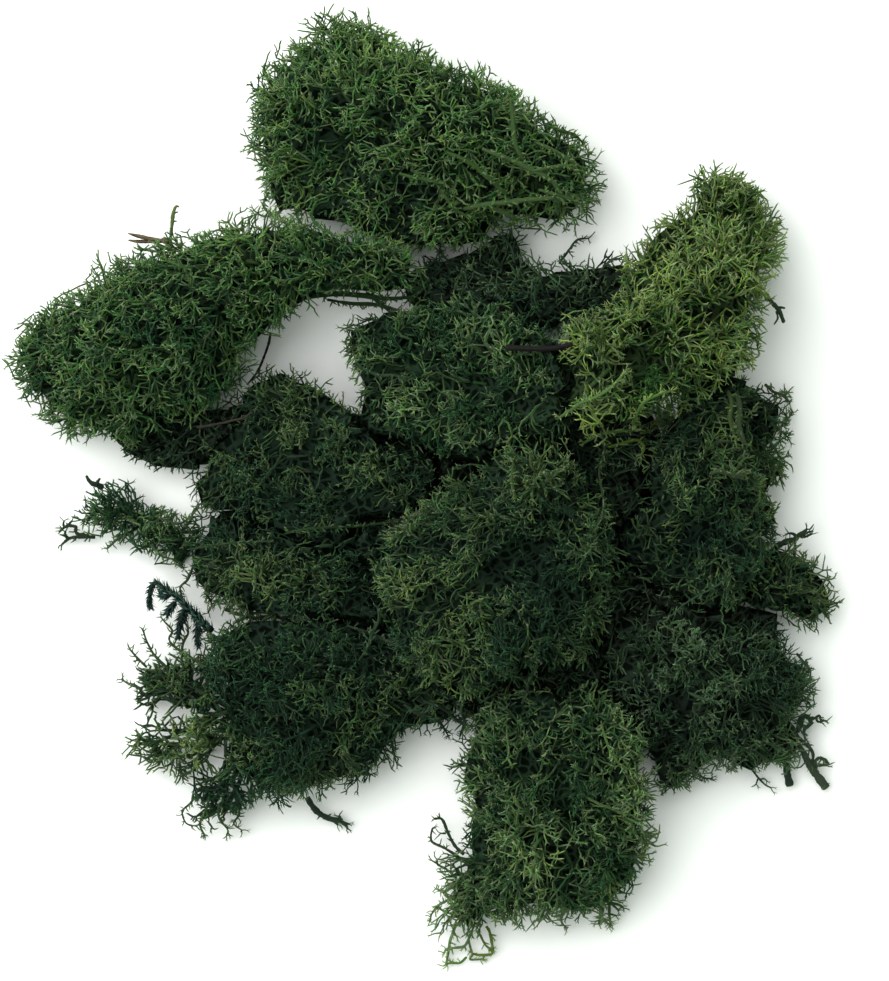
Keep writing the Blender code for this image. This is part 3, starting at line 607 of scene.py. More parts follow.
# Stems that lie over the heap: tone, then (x, y, radius) along each, or (x, y, z, radius) if it hangs free
drapedStems = {
    "right_tuft": [
        (0.55, [(23.0, 7.2, 0.18), (24.8, 8.3, 0.26), (26.3, 8.9, 0.28), (28.7, 9.3, 0.28),
                (32.0, 9.5, 0.2)]),
        (0.45, [(19.4, 11.0, 0.2), (20.9, 12.0, 0.25), (23.0, 13.4, 0.27), (25.4, 14.4, 0.28),
                (27.8, 16.1, 0.26), (29.6, 18.2, 0.2)]),
        (0.5, [(32.1, 9.0, 0.2), (33.8, 9.6, 0.24), (35.0, 11.3, 0.22), (36.3, 12.3, 0.14)]),
        (0.55, [(30.8, 9.3, 0.2), (31.1, 11.3, 0.24), (32.1, 13.4, 0.24), (33.8, 14.4, 0.22),
                (36.2, 15.2, 0.14)]),
        (0.4, [(27.2, 6.9, 0.2), (29.3, 7.5, 0.24), (31.5, 8.0, 0.26), (32.6, 6.9, 0.24),
               (32.0, 5.4, 0.16)]),
    ],
    "right_middle_tuft": [
        (0.592, [(45.0, 15.2, 0.3), (45.5, 13.4, 0.36), (45.2, 11.3, 0.36), (45.8, 8.9, 0.26)]),
        (0.386, [(46.2, 15.0, 0.36), (46.7, 12.8, 0.4), (46.5, 10.4, 0.44), (47.4, 7.4, 0.3)]),
        (0.489, [(42.2, 2.9, 0.2), (43.4, 3.3, 0.32), (45.2, 2.9, 0.36), (47.4, 2.7, 0.36)]),
        (0.85, [(39.5, -3.4, 0.14), (39.0, -1.8, 0.18), (38.6, -0.1, 0.18), (37.8, 1.2, 0.16),
                (37.5, 2.3, 0.12)]),
        (0.85, [(38.7, -0.6, 0.15), (39.5, 0.6, 0.16), (40.5, 1.1, 0.11)]),
        (0.3, [(51.2, 16.4, 0.2), (52.2, 15.3, 0.24), (53.4, 14.9, 0.24), (54.3, 14.3, 0.2),
               (54.9, 13.7, 0.15)]),
        (0.3, [(53.3, 14.9, 0.18), (53.9, 15.3, 0.17), (54.6, 15.3, 0.13)]),
        (0.15, [(51.2, 11.6, 0.24), (52.5, 10.7, 0.26), (54.0, 10.8, 0.22), (54.6, 11.3, 0.16),
                (55.4, 12.3, 0.1)]),
        (0.15, [(54.6, 11.1, 0.15), (54.0, 11.9, 0.13), (53.6, 12.3, 0.1)]),
        (0.15, [(51.5, 10.5, 0.22), (52.7, 9.8, 0.22), (53.4, 9.2, 0.18), (54.6, 9.0, 0.11)]),
        (0.15, [(53.3, 9.2, 0.15), (53.0, 8.3, 0.14), (52.8, 7.5, 0.1)]),
        (0.15, [(51.2, 8.0, 0.22), (52.1, 6.8, 0.22), (52.7, 5.7, 0.17), (53.3, 5.1, 0.11)]),
        (0.1, [(32.5, 12.6, 0.16), (34.2, 11.9, 0.28), (35.8, 11.2, 0.28), (37.6, 11.0, 0.16)]),
        (0.16, [(34.0, 13.8, 0.15), (34.8, 12.0, 0.26), (35.6, 10.0, 0.26), (35.4, 8.4, 0.15)]),
        (0.1, [(36.6, 13.4, 0.15), (36.2, 11.8, 0.24), (36.8, 10.0, 0.15)]),
        (0.25, [(45.0, -9.4, 0.16), (45.3, -12.3, 0.18), (45.0, -15.4, 0.12)]),
    ],
    "lower_right_tuft": [
        (0.35, [(45.0, -11.8, 0.14), (43.8, -13.5, 0.17), (41.0, -15.1, 0.17), (38.6, -16.6, 0.16),
                (36.2, -18.7, 0.11)]),
        (0.35, [(39.2, -29.8, 0.2), (41.0, -30.6, 0.26), (43.7, -31.2, 0.2)]),
        (0.3, [(36.2, -40.3, 0.2), (36.8, -42.3, 0.2), (36.2, -43.9, 0.16), (35.6, -45.1, 0.12)]),
        (0.3, [(39.5, -40.0, 0.2), (40.5, -42.1, 0.2), (41.9, -43.0, 0.16), (43.2, -43.2, 0.12)]),
        (0.3, [(47.0, -37.8, 0.2), (45.9, -39.6, 0.2), (46.5, -40.9, 0.16), (45.6, -41.8, 0.12)]),
        (0.35, [(56.0, -24.3, 0.2), (56.9, -25.5, 0.2), (57.8, -26.8, 0.16), (57.5, -28.3, 0.12)]),
    ],
    "left_middle_tuft": [
        (0.2, [(-30.5, -17.6, 6.0, 0.16), (-28.0, -18.4, 6.5, 0.26), (-25.5, -18.8, 6.5, 0.28),
               (-23.0, -18.5, 6.5, 0.26), (-20.5, -19.2, 6.5, 0.16)]),
        (0.28, [(-29.0, -19.6, 7.0, 0.14), (-27.0, -18.4, 7.0, 0.24), (-24.5, -17.9, 7.0, 0.26),
                (-22.0, -18.8, 7.0, 0.24), (-19.5, -18.2, 7.0, 0.14)]),
        (0.2, [(-27.5, -16.8, 7.5, 0.16), (-26.6, -18.6, 7.5, 0.24), (-26.8, -20.6, 7.5, 0.15)]),
        (0.24, [(-23.4, -16.8, 7.5, 0.16), (-22.8, -18.6, 7.5, 0.24), (-23.6, -20.6, 7.5, 0.15)]),
        (0.2, [(-21.3, -6.1, 0.16), (-19.0, -5.5, 0.2), (-14.5, -5.1, 0.22), (-9.7, -4.9, 0.22),
               (-3.3, -4.0, 0.16)]),
        (0.25, [(-35.5, -8.4, 0.15), (-29.5, -7.5, 0.18), (-23.8, -7.2, 0.14)]),
        (0.3, [(-35.2, -10.9, 0.2), (-36.1, -13.0, 0.2), (-37.3, -14.2, 0.16), (-37.0, -15.7, 0.12)]),
        (0.3, [(-32.5, -12.3, 0.2), (-33.3, -14.8, 0.2), (-32.5, -16.6, 0.16), (-33.1, -18.1, 0.12)]),
    ],
    "lower_left_tuft": [
        (0.4, [(-33.3, -26.2, 0.2), (-36.1, -24.4, 0.2), (-38.2, -23.2, 0.2), (-39.0, -22.0, 0.18),
               (-38.5, -20.8, 0.17), (-39.6, -19.5, 0.14), (-40.3, -18.7, 0.11)]),
        (0.35, [(-39.3, -26.2, 0.2), (-41.2, -24.4, 0.2), (-42.4, -22.3, 0.18), (-43.0, -20.5, 0.12)]),
        (0.4, [(-37.0, -25.5, 0.2), (-36.9, -22.9, 0.2), (-36.1, -21.1, 0.17), (-36.6, -19.3, 0.12)]),
        (0.35, [(-30.7, -22.8, 0.22), (-32.8, -21.1, 0.22), (-34.3, -19.6, 0.2), (-35.8, -17.8, 0.17),
                (-37.0, -16.9, 0.12)]),
        (0.4, [(-42.3, -26.2, 0.2), (-43.9, -24.7, 0.18), (-45.0, -23.5, 0.12)]),
        (0.35, [(-43.0, -29.5, 0.2), (-44.8, -28.9, 0.18), (-46.2, -28.2, 0.12)]),
        (0.35, [(-32.8, -46.0, 0.2), (-33.4, -48.1, 0.2), (-34.3, -49.9, 0.17), (-33.7, -51.7, 0.12)]),
        (0.35, [(-34.6, -45.4, 0.2), (-35.8, -46.9, 0.18), (-37.0, -48.1, 0.15), (-36.4, -49.9, 0.12),
                (-34.8, -50.4, 0.1)]),
        (0.35, [(-31.3, -46.9, 0.2), (-31.3, -49.0, 0.2), (-30.1, -50.8, 0.15), (-30.4, -52.0, 0.1)]),
        (0.35, [(-28.6, -46.3, 0.2), (-28.3, -48.4, 0.19), (-29.2, -49.9, 0.15), (-28.0, -51.0, 0.1)]),
    ],
    "left_sprig_tuft": [
        (0.3, [(-41.5, -7.8, 0.2), (-40.0, -9.4, 0.2), (-38.2, -10.0, 0.17), (-36.7, -11.2, 0.12)]),
        (0.25, [(-39.3, -4.0, 0.2), (-37.3, -4.6, 0.2), (-35.5, -3.4, 0.18), (-34.6, -1.6, 0.14)]),
        (0.3, [(-46.0, -6.3, 0.2), (-47.5, -7.6, 0.18), (-48.4, -8.4, 0.12)]),
    ],
    "centre_tuft": [
        (0.6, [(12.8, 9.2, 0.14), (12.3, 6.8, 0.18), (12.8, 4.7, 0.2), (12.6, 2.0, 0.2),
               (13.2, -0.7, 0.14)]),
        (0.5, [(26.0, 9.2, 0.15), (26.6, 6.5, 0.19), (25.8, 3.5, 0.19), (26.3, -0.3, 0.18),
               (26.9, -4.8, 0.13)]),
    ],
    "centre_base_tuft": [
        (0.18, [(-12.0, -19.8, 0.16), (-9.8, -20.6, 0.26), (-8.0, -21.3, 0.3), (-5.6, -22.2, 0.26),
                (-3.5, -22.4, 0.15)]),
        (0.26, [(-10.2, -25.0, 0.15), (-8.9, -23.2, 0.24), (-8.2, -21.0, 0.28), (-7.2, -19.0, 0.24),
                (-7.4, -17.0, 0.14)]),
        (0.18, [(11.5, -26.4, 0.15), (13.4, -27.4, 0.26), (15.3, -27.9, 0.3), (17.4, -27.8, 0.24),
                (19.4, -28.6, 0.14)]),
        (0.26, [(14.2, -31.4, 0.14), (15.0, -29.6, 0.24), (15.4, -27.8, 0.28), (16.4, -25.8, 0.22),
                (16.2, -24.0, 0.14)]),
        (0.2, [(-11.0, 19.4, 0.15), (-9.0, 18.4, 0.24), (-7.0, 17.6, 0.28), (-4.8, 17.6, 0.22),
               (-2.8, 16.8, 0.14)]),
        (0.1, [(-0.5, -31.2, 0.2), (1.6, -31.8, 0.28), (3.4, -33.0, 0.28), (4.8, -34.4, 0.22),
               (6.8, -35.2, 0.14)]),
        (0.16, [(1.2, -29.8, 0.2), (3.0, -30.6, 0.28), (4.9, -31.4, 0.26), (6.4, -33.2, 0.2)]),
        (0.1, [(-3.4, -31.6, 0.16), (-1.6, -32.8, 0.24), (0.4, -33.4, 0.24), (2.2, -34.8, 0.2),
               (3.2, -36.6, 0.13)]),
        (0.16, [(5.8, -30.2, 0.2), (5.2, -32.4, 0.26), (5.6, -34.6, 0.22), (5.0, -36.8, 0.14)]),
    ],
    "left_tuft": [
        (0.08, [(-22.4, 27.4, 7.5, 0.26), (-19.0, 29.3, 8.5, 0.42), (-14.6, 30.0, 8.5, 0.46),
                (-10.0, 29.8, 8.5, 0.44), (-6.0, 29.3, 8.5, 0.36), (-2.5, 29.5, 9.0, 0.25)]),
        (0.16, [(-19.6, 30.0, 9.5, 0.26), (-15.5, 31.0, 10.5, 0.36), (-11.5, 31.0, 10.5, 0.4),
                (-7.5, 30.6, 10.5, 0.36), (-4.0, 31.0, 10.5, 0.26)]),
        (0.08, [(-15.0, 29.2, 6.0, 0.2), (-11.4, 28.6, 6.5, 0.3), (-7.6, 28.4, 7.0, 0.3),
                (-4.4, 27.6, 7.0, 0.2)]),
        (0.12, [(-9.0, 30.2, 9.0, 0.2), (-6.5, 28.2, 8.0, 0.26), (-4.4, 26.2, 7.0, 0.2)]),
    ],
    "bottom_tuft": [
        (0.6, [(26.0, -34.0, 0.15), (26.7, -36.7, 0.19), (28.1, -39.7, 0.19), (30.2, -41.2, 0.17),
               (32.3, -42.4, 0.13)]),
        (0.5, [(3.8, -61.0, 0.2), (2.0, -61.9, 0.2), (0.8, -63.4, 0.16), (0.5, -64.6, 0.12)]),
        (0.5, [(4.2, -58.8, 0.2), (2.6, -60.0, 0.18), (1.4, -59.8, 0.12)]),
        (0.5, [(26.0, -63.3, 0.2), (26.9, -64.6, 0.18), (27.8, -65.5, 0.12)]),
        (0.5, [(20.7, -62.8, 0.2), (20.3, -64.6, 0.18), (21.2, -65.8, 0.12)]),
    ],
    "top_tuft": [
        (0.386, [(5.6, 42.5, 0.3), (8.7, 43.1, 0.4), (12.0, 43.4, 0.42), (15.5, 43.8, 0.4),
                 (19.2, 44.1, 0.34), (22.5, 44.4, 0.28), (25.7, 44.1, 0.16)]),
        (0.489, [(8.0, 43.1, 0.3), (9.8, 42.6, 0.38), (11.7, 41.9, 0.44), (13.2, 41.1, 0.4)]),
        (0.283, [(-4.0, 47.6, 0.2), (-1.9, 47.0, 0.26), (0.0, 46.7, 0.3), (2.6, 46.2, 0.26)]),
        (0.283, [(3.0, 50.7, 0.22), (5.0, 49.8, 0.3), (6.9, 48.8, 0.34), (9.5, 46.7, 0.34),
                 (11.7, 44.7, 0.28)]),
        (0.386, [(8.3, 51.2, 0.24), (10.2, 50.4, 0.3), (12.2, 49.7, 0.34), (15.5, 48.2, 0.34),
                 (18.9, 46.4, 0.3), (20.4, 43.5, 0.2)]),
        (0.283, [(12.5, 58.4, 0.26), (12.8, 56.3, 0.36), (12.9, 54.2, 0.4), (13.2, 51.9, 0.36),
                 (14.4, 49.5, 0.26)]),
        (0.283, [(1.5, 46.1, 0.18), (2.9, 44.1, 0.24), (4.5, 42.2, 0.26), (7.1, 41.0, 0.2)]),
        (0.386, [(14.6, 47.3, 0.22), (16.4, 48.0, 0.28), (18.3, 48.5, 0.3), (21.2, 48.8, 0.26),
                 (23.4, 47.0, 0.18)]),
        (0.386, [(16.7, 45.3, 0.22), (18.8, 44.7, 0.28), (21.0, 44.1, 0.3), (23.4, 43.1, 0.2)]),
        (0.386, [(16.1, 52.4, 0.2), (18.0, 51.6, 0.26), (20.0, 50.6, 0.28), (22.2, 49.2, 0.24),
                 (24.0, 48.3, 0.15)]),
        (0.283, [(17.9, 55.1, 0.18), (20.0, 54.3, 0.24), (22.1, 53.9, 0.24), (23.4, 53.0, 0.2),
                 (24.5, 51.6, 0.14)]),
        (0.4, [(-23.8, 45.2, 0.2), (-24.7, 43.5, 0.2), (-23.5, 42.0, 0.18), (-21.4, 40.8, 0.16),
               (-19.3, 39.8, 0.12)]),
        (0.4, [(-21.3, 43.2, 0.2), (-22.6, 42.2, 0.18), (-24.7, 41.9, 0.15), (-26.2, 42.8, 0.11)]),
        (0.35, [(-16.8, 43.2, 0.22), (-17.2, 41.3, 0.2), (-15.7, 39.5, 0.18), (-13.3, 38.3, 0.14)]),
        (0.35, [(-12.3, 42.2, 0.22), (-11.2, 40.1, 0.2), (-8.8, 38.6, 0.17), (-6.4, 38.0, 0.12)]),
        (0.35, [(-19.0, 44.0, 0.2), (-19.6, 41.9, 0.2), (-18.7, 40.1, 0.16), (-19.6, 38.3, 0.12)]),
    ],
    "back_tuft": [
        (0.25, [(20.0, 34.7, 0.2), (21.5, 36.8, 0.2), (22.7, 38.3, 0.17), (24.5, 38.6, 0.12)]),
        (0.25, [(26.0, 33.2, 0.2), (27.2, 34.7, 0.19), (28.7, 35.3, 0.15), (30.2, 34.7, 0.11)]),
        (0.25, [(13.2, 34.7, 0.2), (12.8, 36.8, 0.2), (11.6, 38.3, 0.16), (10.4, 39.2, 0.12)]),
        (0.25, [(3.5, 34.7, 0.2), (2.0, 36.5, 0.19), (2.3, 38.3, 0.15), (1.1, 39.2, 0.11)]),
    ],
}


# Materials

def linearOf(hexText):
    parts = [int(hexText[i:i + 2], 16) / 255 for i in (1, 3, 5)]
    return tuple(c / 12.92 if c <= 0.04045 else ((c + 0.055) / 1.055) ** 2.4 for c in parts) + (1,)


def addNode(tree, kind, links=(), **settings):
    made = tree.nodes.new(kind)
    for key, value in settings.items():
        if key in made.inputs:
            made.inputs[key].default_value = value
        else:
            setattr(made, key, value)
    for socket, source in dict(links).items():
        tree.links.new(source, made.inputs[socket])
    return made


def mixColours(tree, share, first, second):  # a Mix node's sockets 6 and 7 are its two colours
    mix = addNode(tree, "ShaderNodeMix", {"Factor": share, 6: first, 7: second}, data_type="RGBA")
    return mix.outputs[2]


def fillRamp(node, stops):
    ramp = node.color_ramp
    while len(ramp.elements) > 1:
        ramp.elements.remove(ramp.elements[-1])
    for index, (place, colour) in enumerate(stops):
        stop = ramp.elements[0] if index == 0 else ramp.elements.new(place)
        stop.position = place
        stop.color = linearOf(colour)


def newMaterial(name, skin):
    made = bpy.data.materials.new(name)
    made.use_nodes = True
    shader = made.node_tree.nodes["Principled BSDF"]
    shader.inputs["Roughness"].default_value = skin["roughness"]
    shader.inputs["Specular IOR Level"].default_value = skin["specular"]
    return made, made.node_tree, shader


# Reindeer lichen, dyed and softened: a dry felt-like skin with no gloss, pale at the tips.
# Ages run from the tip (0) down the stem, and the colours darken along them, partly the older stems' own
# colour and partly painted shade of the deeper branches. Above 0.95 lies the dark middle, painted shade, or
# a cut end.
lichenSkin = {"roughness": 0.85, "specular": 0.08, "glow": 0.35}
paintedStrandNet = {"mesh": 1.5, "bend": 2.2, "shift": 1.6, "strand": 1.3, "gap": 0.26}  # mm, then brightness of the painted strands and of the painted shade between them
ages = (0.0, 0.14, 0.32, 0.6, 0.93, 0.97)
lichenFinishes = {
    "yellow_green": {
        "pale": ("#8FA564", "#788F4F", "#647C40", "#4D6532", "#40502B", "#25331E"),
        "dark": ("#334F28", "#2A4322", "#21371D", "#1A2C17", "#162112", "#161F12"),
    },
    "leaf_green": {
        "pale": ("#7C9C5C", "#5E7E46", "#4B693A", "#3F5A30", "#37482B", "#1F3021"),
        "dark": ("#29472C", "#213D25", "#1A311F", "#172818", "#131F16", "#141D15"),
    },
    "blue_green": {
        "pale": ("#6C874E", "#4E663C", "#3A4D2D", "#2C3B24", "#24311F", "#1C2A1F"),
        "dark": ("#213926", "#1C2F22", "#19281D", "#132218", "#111A16", "#131C16"),
    },
    "olive_green": {
        "pale": ("#85A46B", "#66824F", "#4D683E", "#3C5431", "#33432A", "#1E2F21"),
        "dark": ("#28432A", "#223723", "#1A2F1F", "#172618", "#131C15", "#141C14"),
    },
    "deep_green": {
        "pale": ("#5E7E53", "#4C6846", "#3D5538", "#2F422E", "#283324", "#1D2920"),
        "dark": ("#243729", "#1D2E22", "#1A271D", "#152118", "#111A15", "#161A14"),
    },
    "cut_green": {
        "pale": ("#869760", "#748553", "#657349", "#566240", "#606847", "#ADA884"),
        "dark": ("#274538", "#20372E", "#1A2E28", "#162723", "#15221F", "#858568"),
    },
}


def lichenMaterial(name, finish):
    made, tree, shader = newMaterial(name, lichenSkin)
    where = addNode(tree, "ShaderNodeUVMap", uv_map=bakeMap)
    split = addNode(tree, "ShaderNodeSeparateXYZ", {"Vector": where.outputs["UV"]})
    pale = addNode(tree, "ShaderNodeValToRGB", {"Fac": split.outputs["X"]})
    dark = addNode(tree, "ShaderNodeValToRGB", {"Fac": split.outputs["X"]})
    fillRamp(pale, zip(ages, finish["pale"]))
    fillRamp(dark, zip(ages, finish["dark"]))
    gloss = addNode(tree, "ShaderNodeMapRange", {"Value": split.outputs["X"]}, **{
        "From Min": 0.94, "From Max": 0.965, "To Min": lichenSkin["specular"], "To Max": 0.0})
    tree.links.new(gloss.outputs["Result"], shader.inputs["Specular IOR Level"])
    # light soaks through the thin tips
    shader.inputs["Subsurface Weight"].default_value = lichenSkin["glow"]
    shader.inputs["Subsurface Scale"].default_value = 0.4 * mm
    shader.inputs["Subsurface Radius"].default_value = (0.8, 1.0, 0.5)
    blend = mixColours(tree, split.outputs["Y"], dark.outputs["Color"], pale.outputs["Color"])
    # the dye took unevenly: from branch to branch it leans to yellow or to blue, and to grey
    swing = []
    for waves, middle, reach in ((61, 0.5, 0.028), (97, 1.0, 0.16)):  # hue, then saturation
        turned = addNode(tree, "ShaderNodeMath", {0: split.outputs["Y"]}, operation="MULTIPLY")
        turned.inputs[1].default_value = waves
        wave = addNode(tree, "ShaderNodeMath", {0: turned.outputs[0]}, operation="SINE")
        swing.append(addNode(tree, "ShaderNodeMapRange", {"Value": wave.outputs[0]}, **{
            "From Min": -1.0, "From Max": 1.0, "To Min": middle - reach, "To Max": middle + reach}))
    dyed = addNode(tree, "ShaderNodeHueSaturation", {
        "Hue": swing[0].outputs["Result"], "Saturation": swing[1].outputs["Result"], "Color": blend})
    # the dark middle, painted shade, gets a dim net of painted strands with painted shade between them, not
    # a skin
    spot = addNode(tree, "ShaderNodeTexCoord")
    bent = addNode(tree, "ShaderNodeTexNoise", {"Vector": spot.outputs["Object"]},
                   Scale=1 / (paintedStrandNet["bend"] * mm), Detail=1.0)
    small = addNode(tree, "ShaderNodeVectorMath", {0: bent.outputs["Color"]}, operation="SCALE",
                    Scale=paintedStrandNet["shift"] * mm)
    shift = addNode(tree, "ShaderNodeVectorMath", {0: spot.outputs["Object"], 1: small.outputs["Vector"]},
                    operation="ADD")
    net = addNode(tree, "ShaderNodeTexVoronoi", {"Vector": shift.outputs["Vector"]},
                  feature="DISTANCE_TO_EDGE", Scale=1 / (paintedStrandNet["mesh"] * mm))
    strand = addNode(tree, "ShaderNodeMapRange", {"Value": net.outputs["Distance"]}, **{
        "From Min": 0.05, "From Max": 0.19, "To Min": paintedStrandNet["strand"], "To Max": paintedStrandNet["gap"]})
    shadeCoreShare = addNode(tree, "ShaderNodeMapRange", {"Value": split.outputs["X"]}, **{
        "From Min": 0.968, "From Max": 0.977, "To Min": 0.0, "To Max": 1.0})
    netted = addNode(tree, "ShaderNodeVectorMath", {
        0: dyed.outputs["Color"], "Scale": strand.outputs["Result"]}, operation="SCALE")
    skin = mixColours(tree, shadeCoreShare.outputs["Result"], dyed.outputs["Color"], netted.outputs["Vector"])
    tree.links.new(skin, shader.inputs["Base Color"])
    return made


# How a tuft grows unless its own look says otherwise
plainLook = {
    "fine": 1.0,  # size of the branches
    "coarse": 1.0,  # distance between them
    "bare": 0.85,  # share of them that grow at the foot of the spine
    "relief": 2.2,  # depth in mm of the dips between its cushions
    "fronds": 1.0,  # how far single branches stick out
    "patches": 0.65,  # difference in tone from one part to another
    "core": 3.3,  # depth in mm of the dark middle, a sheet of painted shade, 0 for none
    "thin": (),  # (x, y, radius, share of the branches that grow there)
    "lit": (),  # (x, y, radius, how much paler)
    "stout": (),  # (x, y, radius, how much thicker)
    "hollow": (),  # (x, y, radius, to x, to y): the core draws back from a thin lobe
}
# The spine runs from the foot to the tips, in shares of the box of the tuft's solid
mossLooks = {
    "top_tuft": {
        "spine": [(0.84, 0.22, 0.35), (0.6, 0.38, 0.4), (0.3, 0.6, 0.45)],
        "finish": "leaf_green", "tone": 0.46, "bare": 0.6, "patches": 0.25, "lit": [(-6, 64, 14, 0.15)],
        "thin": [(13, 46, 11, 0.7)],
    },
    "left_tuft": {
        "spine": [(0.9, 0.76, 0.6), (0.65, 0.72, 0.55), (0.35, 0.5, 0.5), (0.15, 0.42, 0.4)],
        "finish": "leaf_green", "tone": 0.35, "patches": 0.25, "lit": [(-30, 36, 13, 0.15)],
    },
    "right_tuft": {
        "spine": [(0.12, 0.1, 0.72), (0.3, 0.3, 0.7), (0.65, 0.6, 0.5), (0.85, 0.85, 0.35)],
        "finish": "yellow_green", "tone": 0.48, "bare": 0.4, "patches": 0.35,
        "lit": [(33, 17, 10, -0.3)],
    },
    "centre_tuft": {
        "spine": [(0.85, 0.8, 0.3), (0.55, 0.6, 0.3), (0.3, 0.35, 0.3)],
        "finish": "blue_green", "tone": 0.18, "relief": 3.4, "fine": 0.96,
        "lit": [(-5.5, -12.3, 7, 0.45), (3.5, -25, 8, 0.55), (12.5, 2, 6, 0.35), (26, -1, 4, 0.3),
                (21, -18, 9, -0.15)],
    },
    "centre_top_tuft": {
        "spine": [(0.85, 0.3, 0.2), (0.5, 0.4, 0.2), (0.25, 0.6, 0.3)],
        "finish": "olive_green", "tone": 0.22, "relief": 2.8, "lit": [(5, 8, 4, 0.35)],
    },
    "bottom_tuft": {
        "spine": [(0.5, 0.9, 0.3), (0.55, 0.6, 0.3), (0.4, 0.25, 0.3)],
        "finish": "olive_green", "tone": 0.28, "relief": 2.6,
        "lit": [(12.5, -56, 9, 0.25), (28, -38.5, 7, 0.3)],
        "thin": [(2, -61, 4, 0.6), (6, -68, 5, 0.5)],
    },
    "mid_left_tuft": {
        "spine": [(0.8, 0.3, 0.2), (0.5, 0.5, 0.3), (0.35, 0.7, 0.3)],
        "finish": "blue_green", "tone": 0.3, "relief": 2.8, "fine": 0.9, "lit": [(-8.5, 3.5, 7, 0.3)],
    },
    "right_middle_tuft": {
        "spine": [(0.6, 0.9, 0.5), (0.6, 0.6, 0.4), (0.55, 0.25, 0.35)],
        "finish": "blue_green", "tone": 0.25, "relief": 2.8, "bare": 0.7,
        "lit": [(45, 9, 5, 0.25), (50, 3.5, 5, 0.2)], "thin": [(53, 11, 6, 0.3)],
    },
    "lower_left_tuft": {
        "spine": [(0.85, 0.6, 0.3), (0.6, 0.55, 0.25), (0.3, 0.5, 0.2)],
        "finish": "blue_green", "tone": 0.2, "relief": 2.8, "fine": 0.9,
        "lit": [(-16, -26, 6, 0.25), (-38, -38, 7, 0.45)],
        "thin": [(-41, -30, 7, 0.75), (-42, -40, 7, 0.75), (-35, -47, 6, 0.7)],
        "stout": [(-39, -29, 9, 0.5), (-39, -37.5, 9, 0.3), (-33, -47, 7, 0.4)],
        "hollow": [(-38.5, -29.5, 8, -28, -30), (-38.5, -37.5, 8, -27, -35), (-33, -46.5, 6.5, -26, -40)],
    },
    "lower_right_tuft": {
        "spine": [(0.15, 0.75, 0.3), (0.4, 0.6, 0.3), (0.75, 0.4, 0.25)],
        "finish": "deep_green", "tone": 0.32, "fine": 0.92, "lit": [(46, -29.5, 8, 0.4)],
    },
    "left_middle_tuft": {
        "spine": [(0.85, 0.55, 0.3), (0.5, 0.5, 0.3), (0.15, 0.5, 0.3)],
        "finish": "blue_green", "tone": 0.26, "relief": 2.4, "fine": 0.9, "lit": [(-20, -7, 4, 0.25)],
    },
    "left_sprig_tuft": {
        "spine": [(0.85, 0.3, 0.4), (0.5, 0.5, 0.4), (0.15, 0.8, 0.4)],
        "finish": "olive_green", "tone": 0.0, "core": 0, "coarse": 0.87, "fronds": 0.6,
    },
    "right_edge_tuft": {
        "spine": [(0.15, 0.6, 0.5), (0.5, 0.6, 0.5), (0.8, 0.3, 0.4)],
        "finish": "blue_green", "tone": 0.6, "thin": [(58, -13, 6, 0.7)],
    },
    "back_tuft": {
        "spine": [(0.85, 0.4, 0.4), (0.5, 0.4, 0.4), (0.1, 0.4, 0.3)],
        "finish": "deep_green", "tone": 0.35, "thin": [(20, 34, 6, 0.6)],
    },
    "under_left_tuft": {
        "spine": [(0.85, 0.5, 0.3), (0.5, 0.5, 0.3), (0.1, 0.5, 0.3)],
        "finish": "deep_green", "tone": 0.2,
    },
    "centre_base_tuft": {
        "spine": [(0.5, 0.9, 0.2), (0.5, 0.5, 0.2), (0.5, 0.1, 0.2)],
        "finish": "deep_green", "tone": 0.3, "coarse": 1.2,
    },
}

lichens = {kind: lichenMaterial(kind + "_lichen", finish) for kind, finish in lichenFinishes.items()}


def dress(work, name, ending, material):  # the arrays become one piece in the place of its solid
    data, faces = work.mesh(name + ending)
    data.materials.append(material)
    piece = bpy.data.objects.new(name + ending, data)
    bpy.context.scene.collection.objects.link(piece)
    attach(piece, "root")
    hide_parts(name)
    print(f"{piece.name}: {faces} triangles")
    return piece


for order, (name, look) in enumerate(mossLooks.items()):
    growTuft(name, {**plainLook, **look}, order)
print("tufts grown")


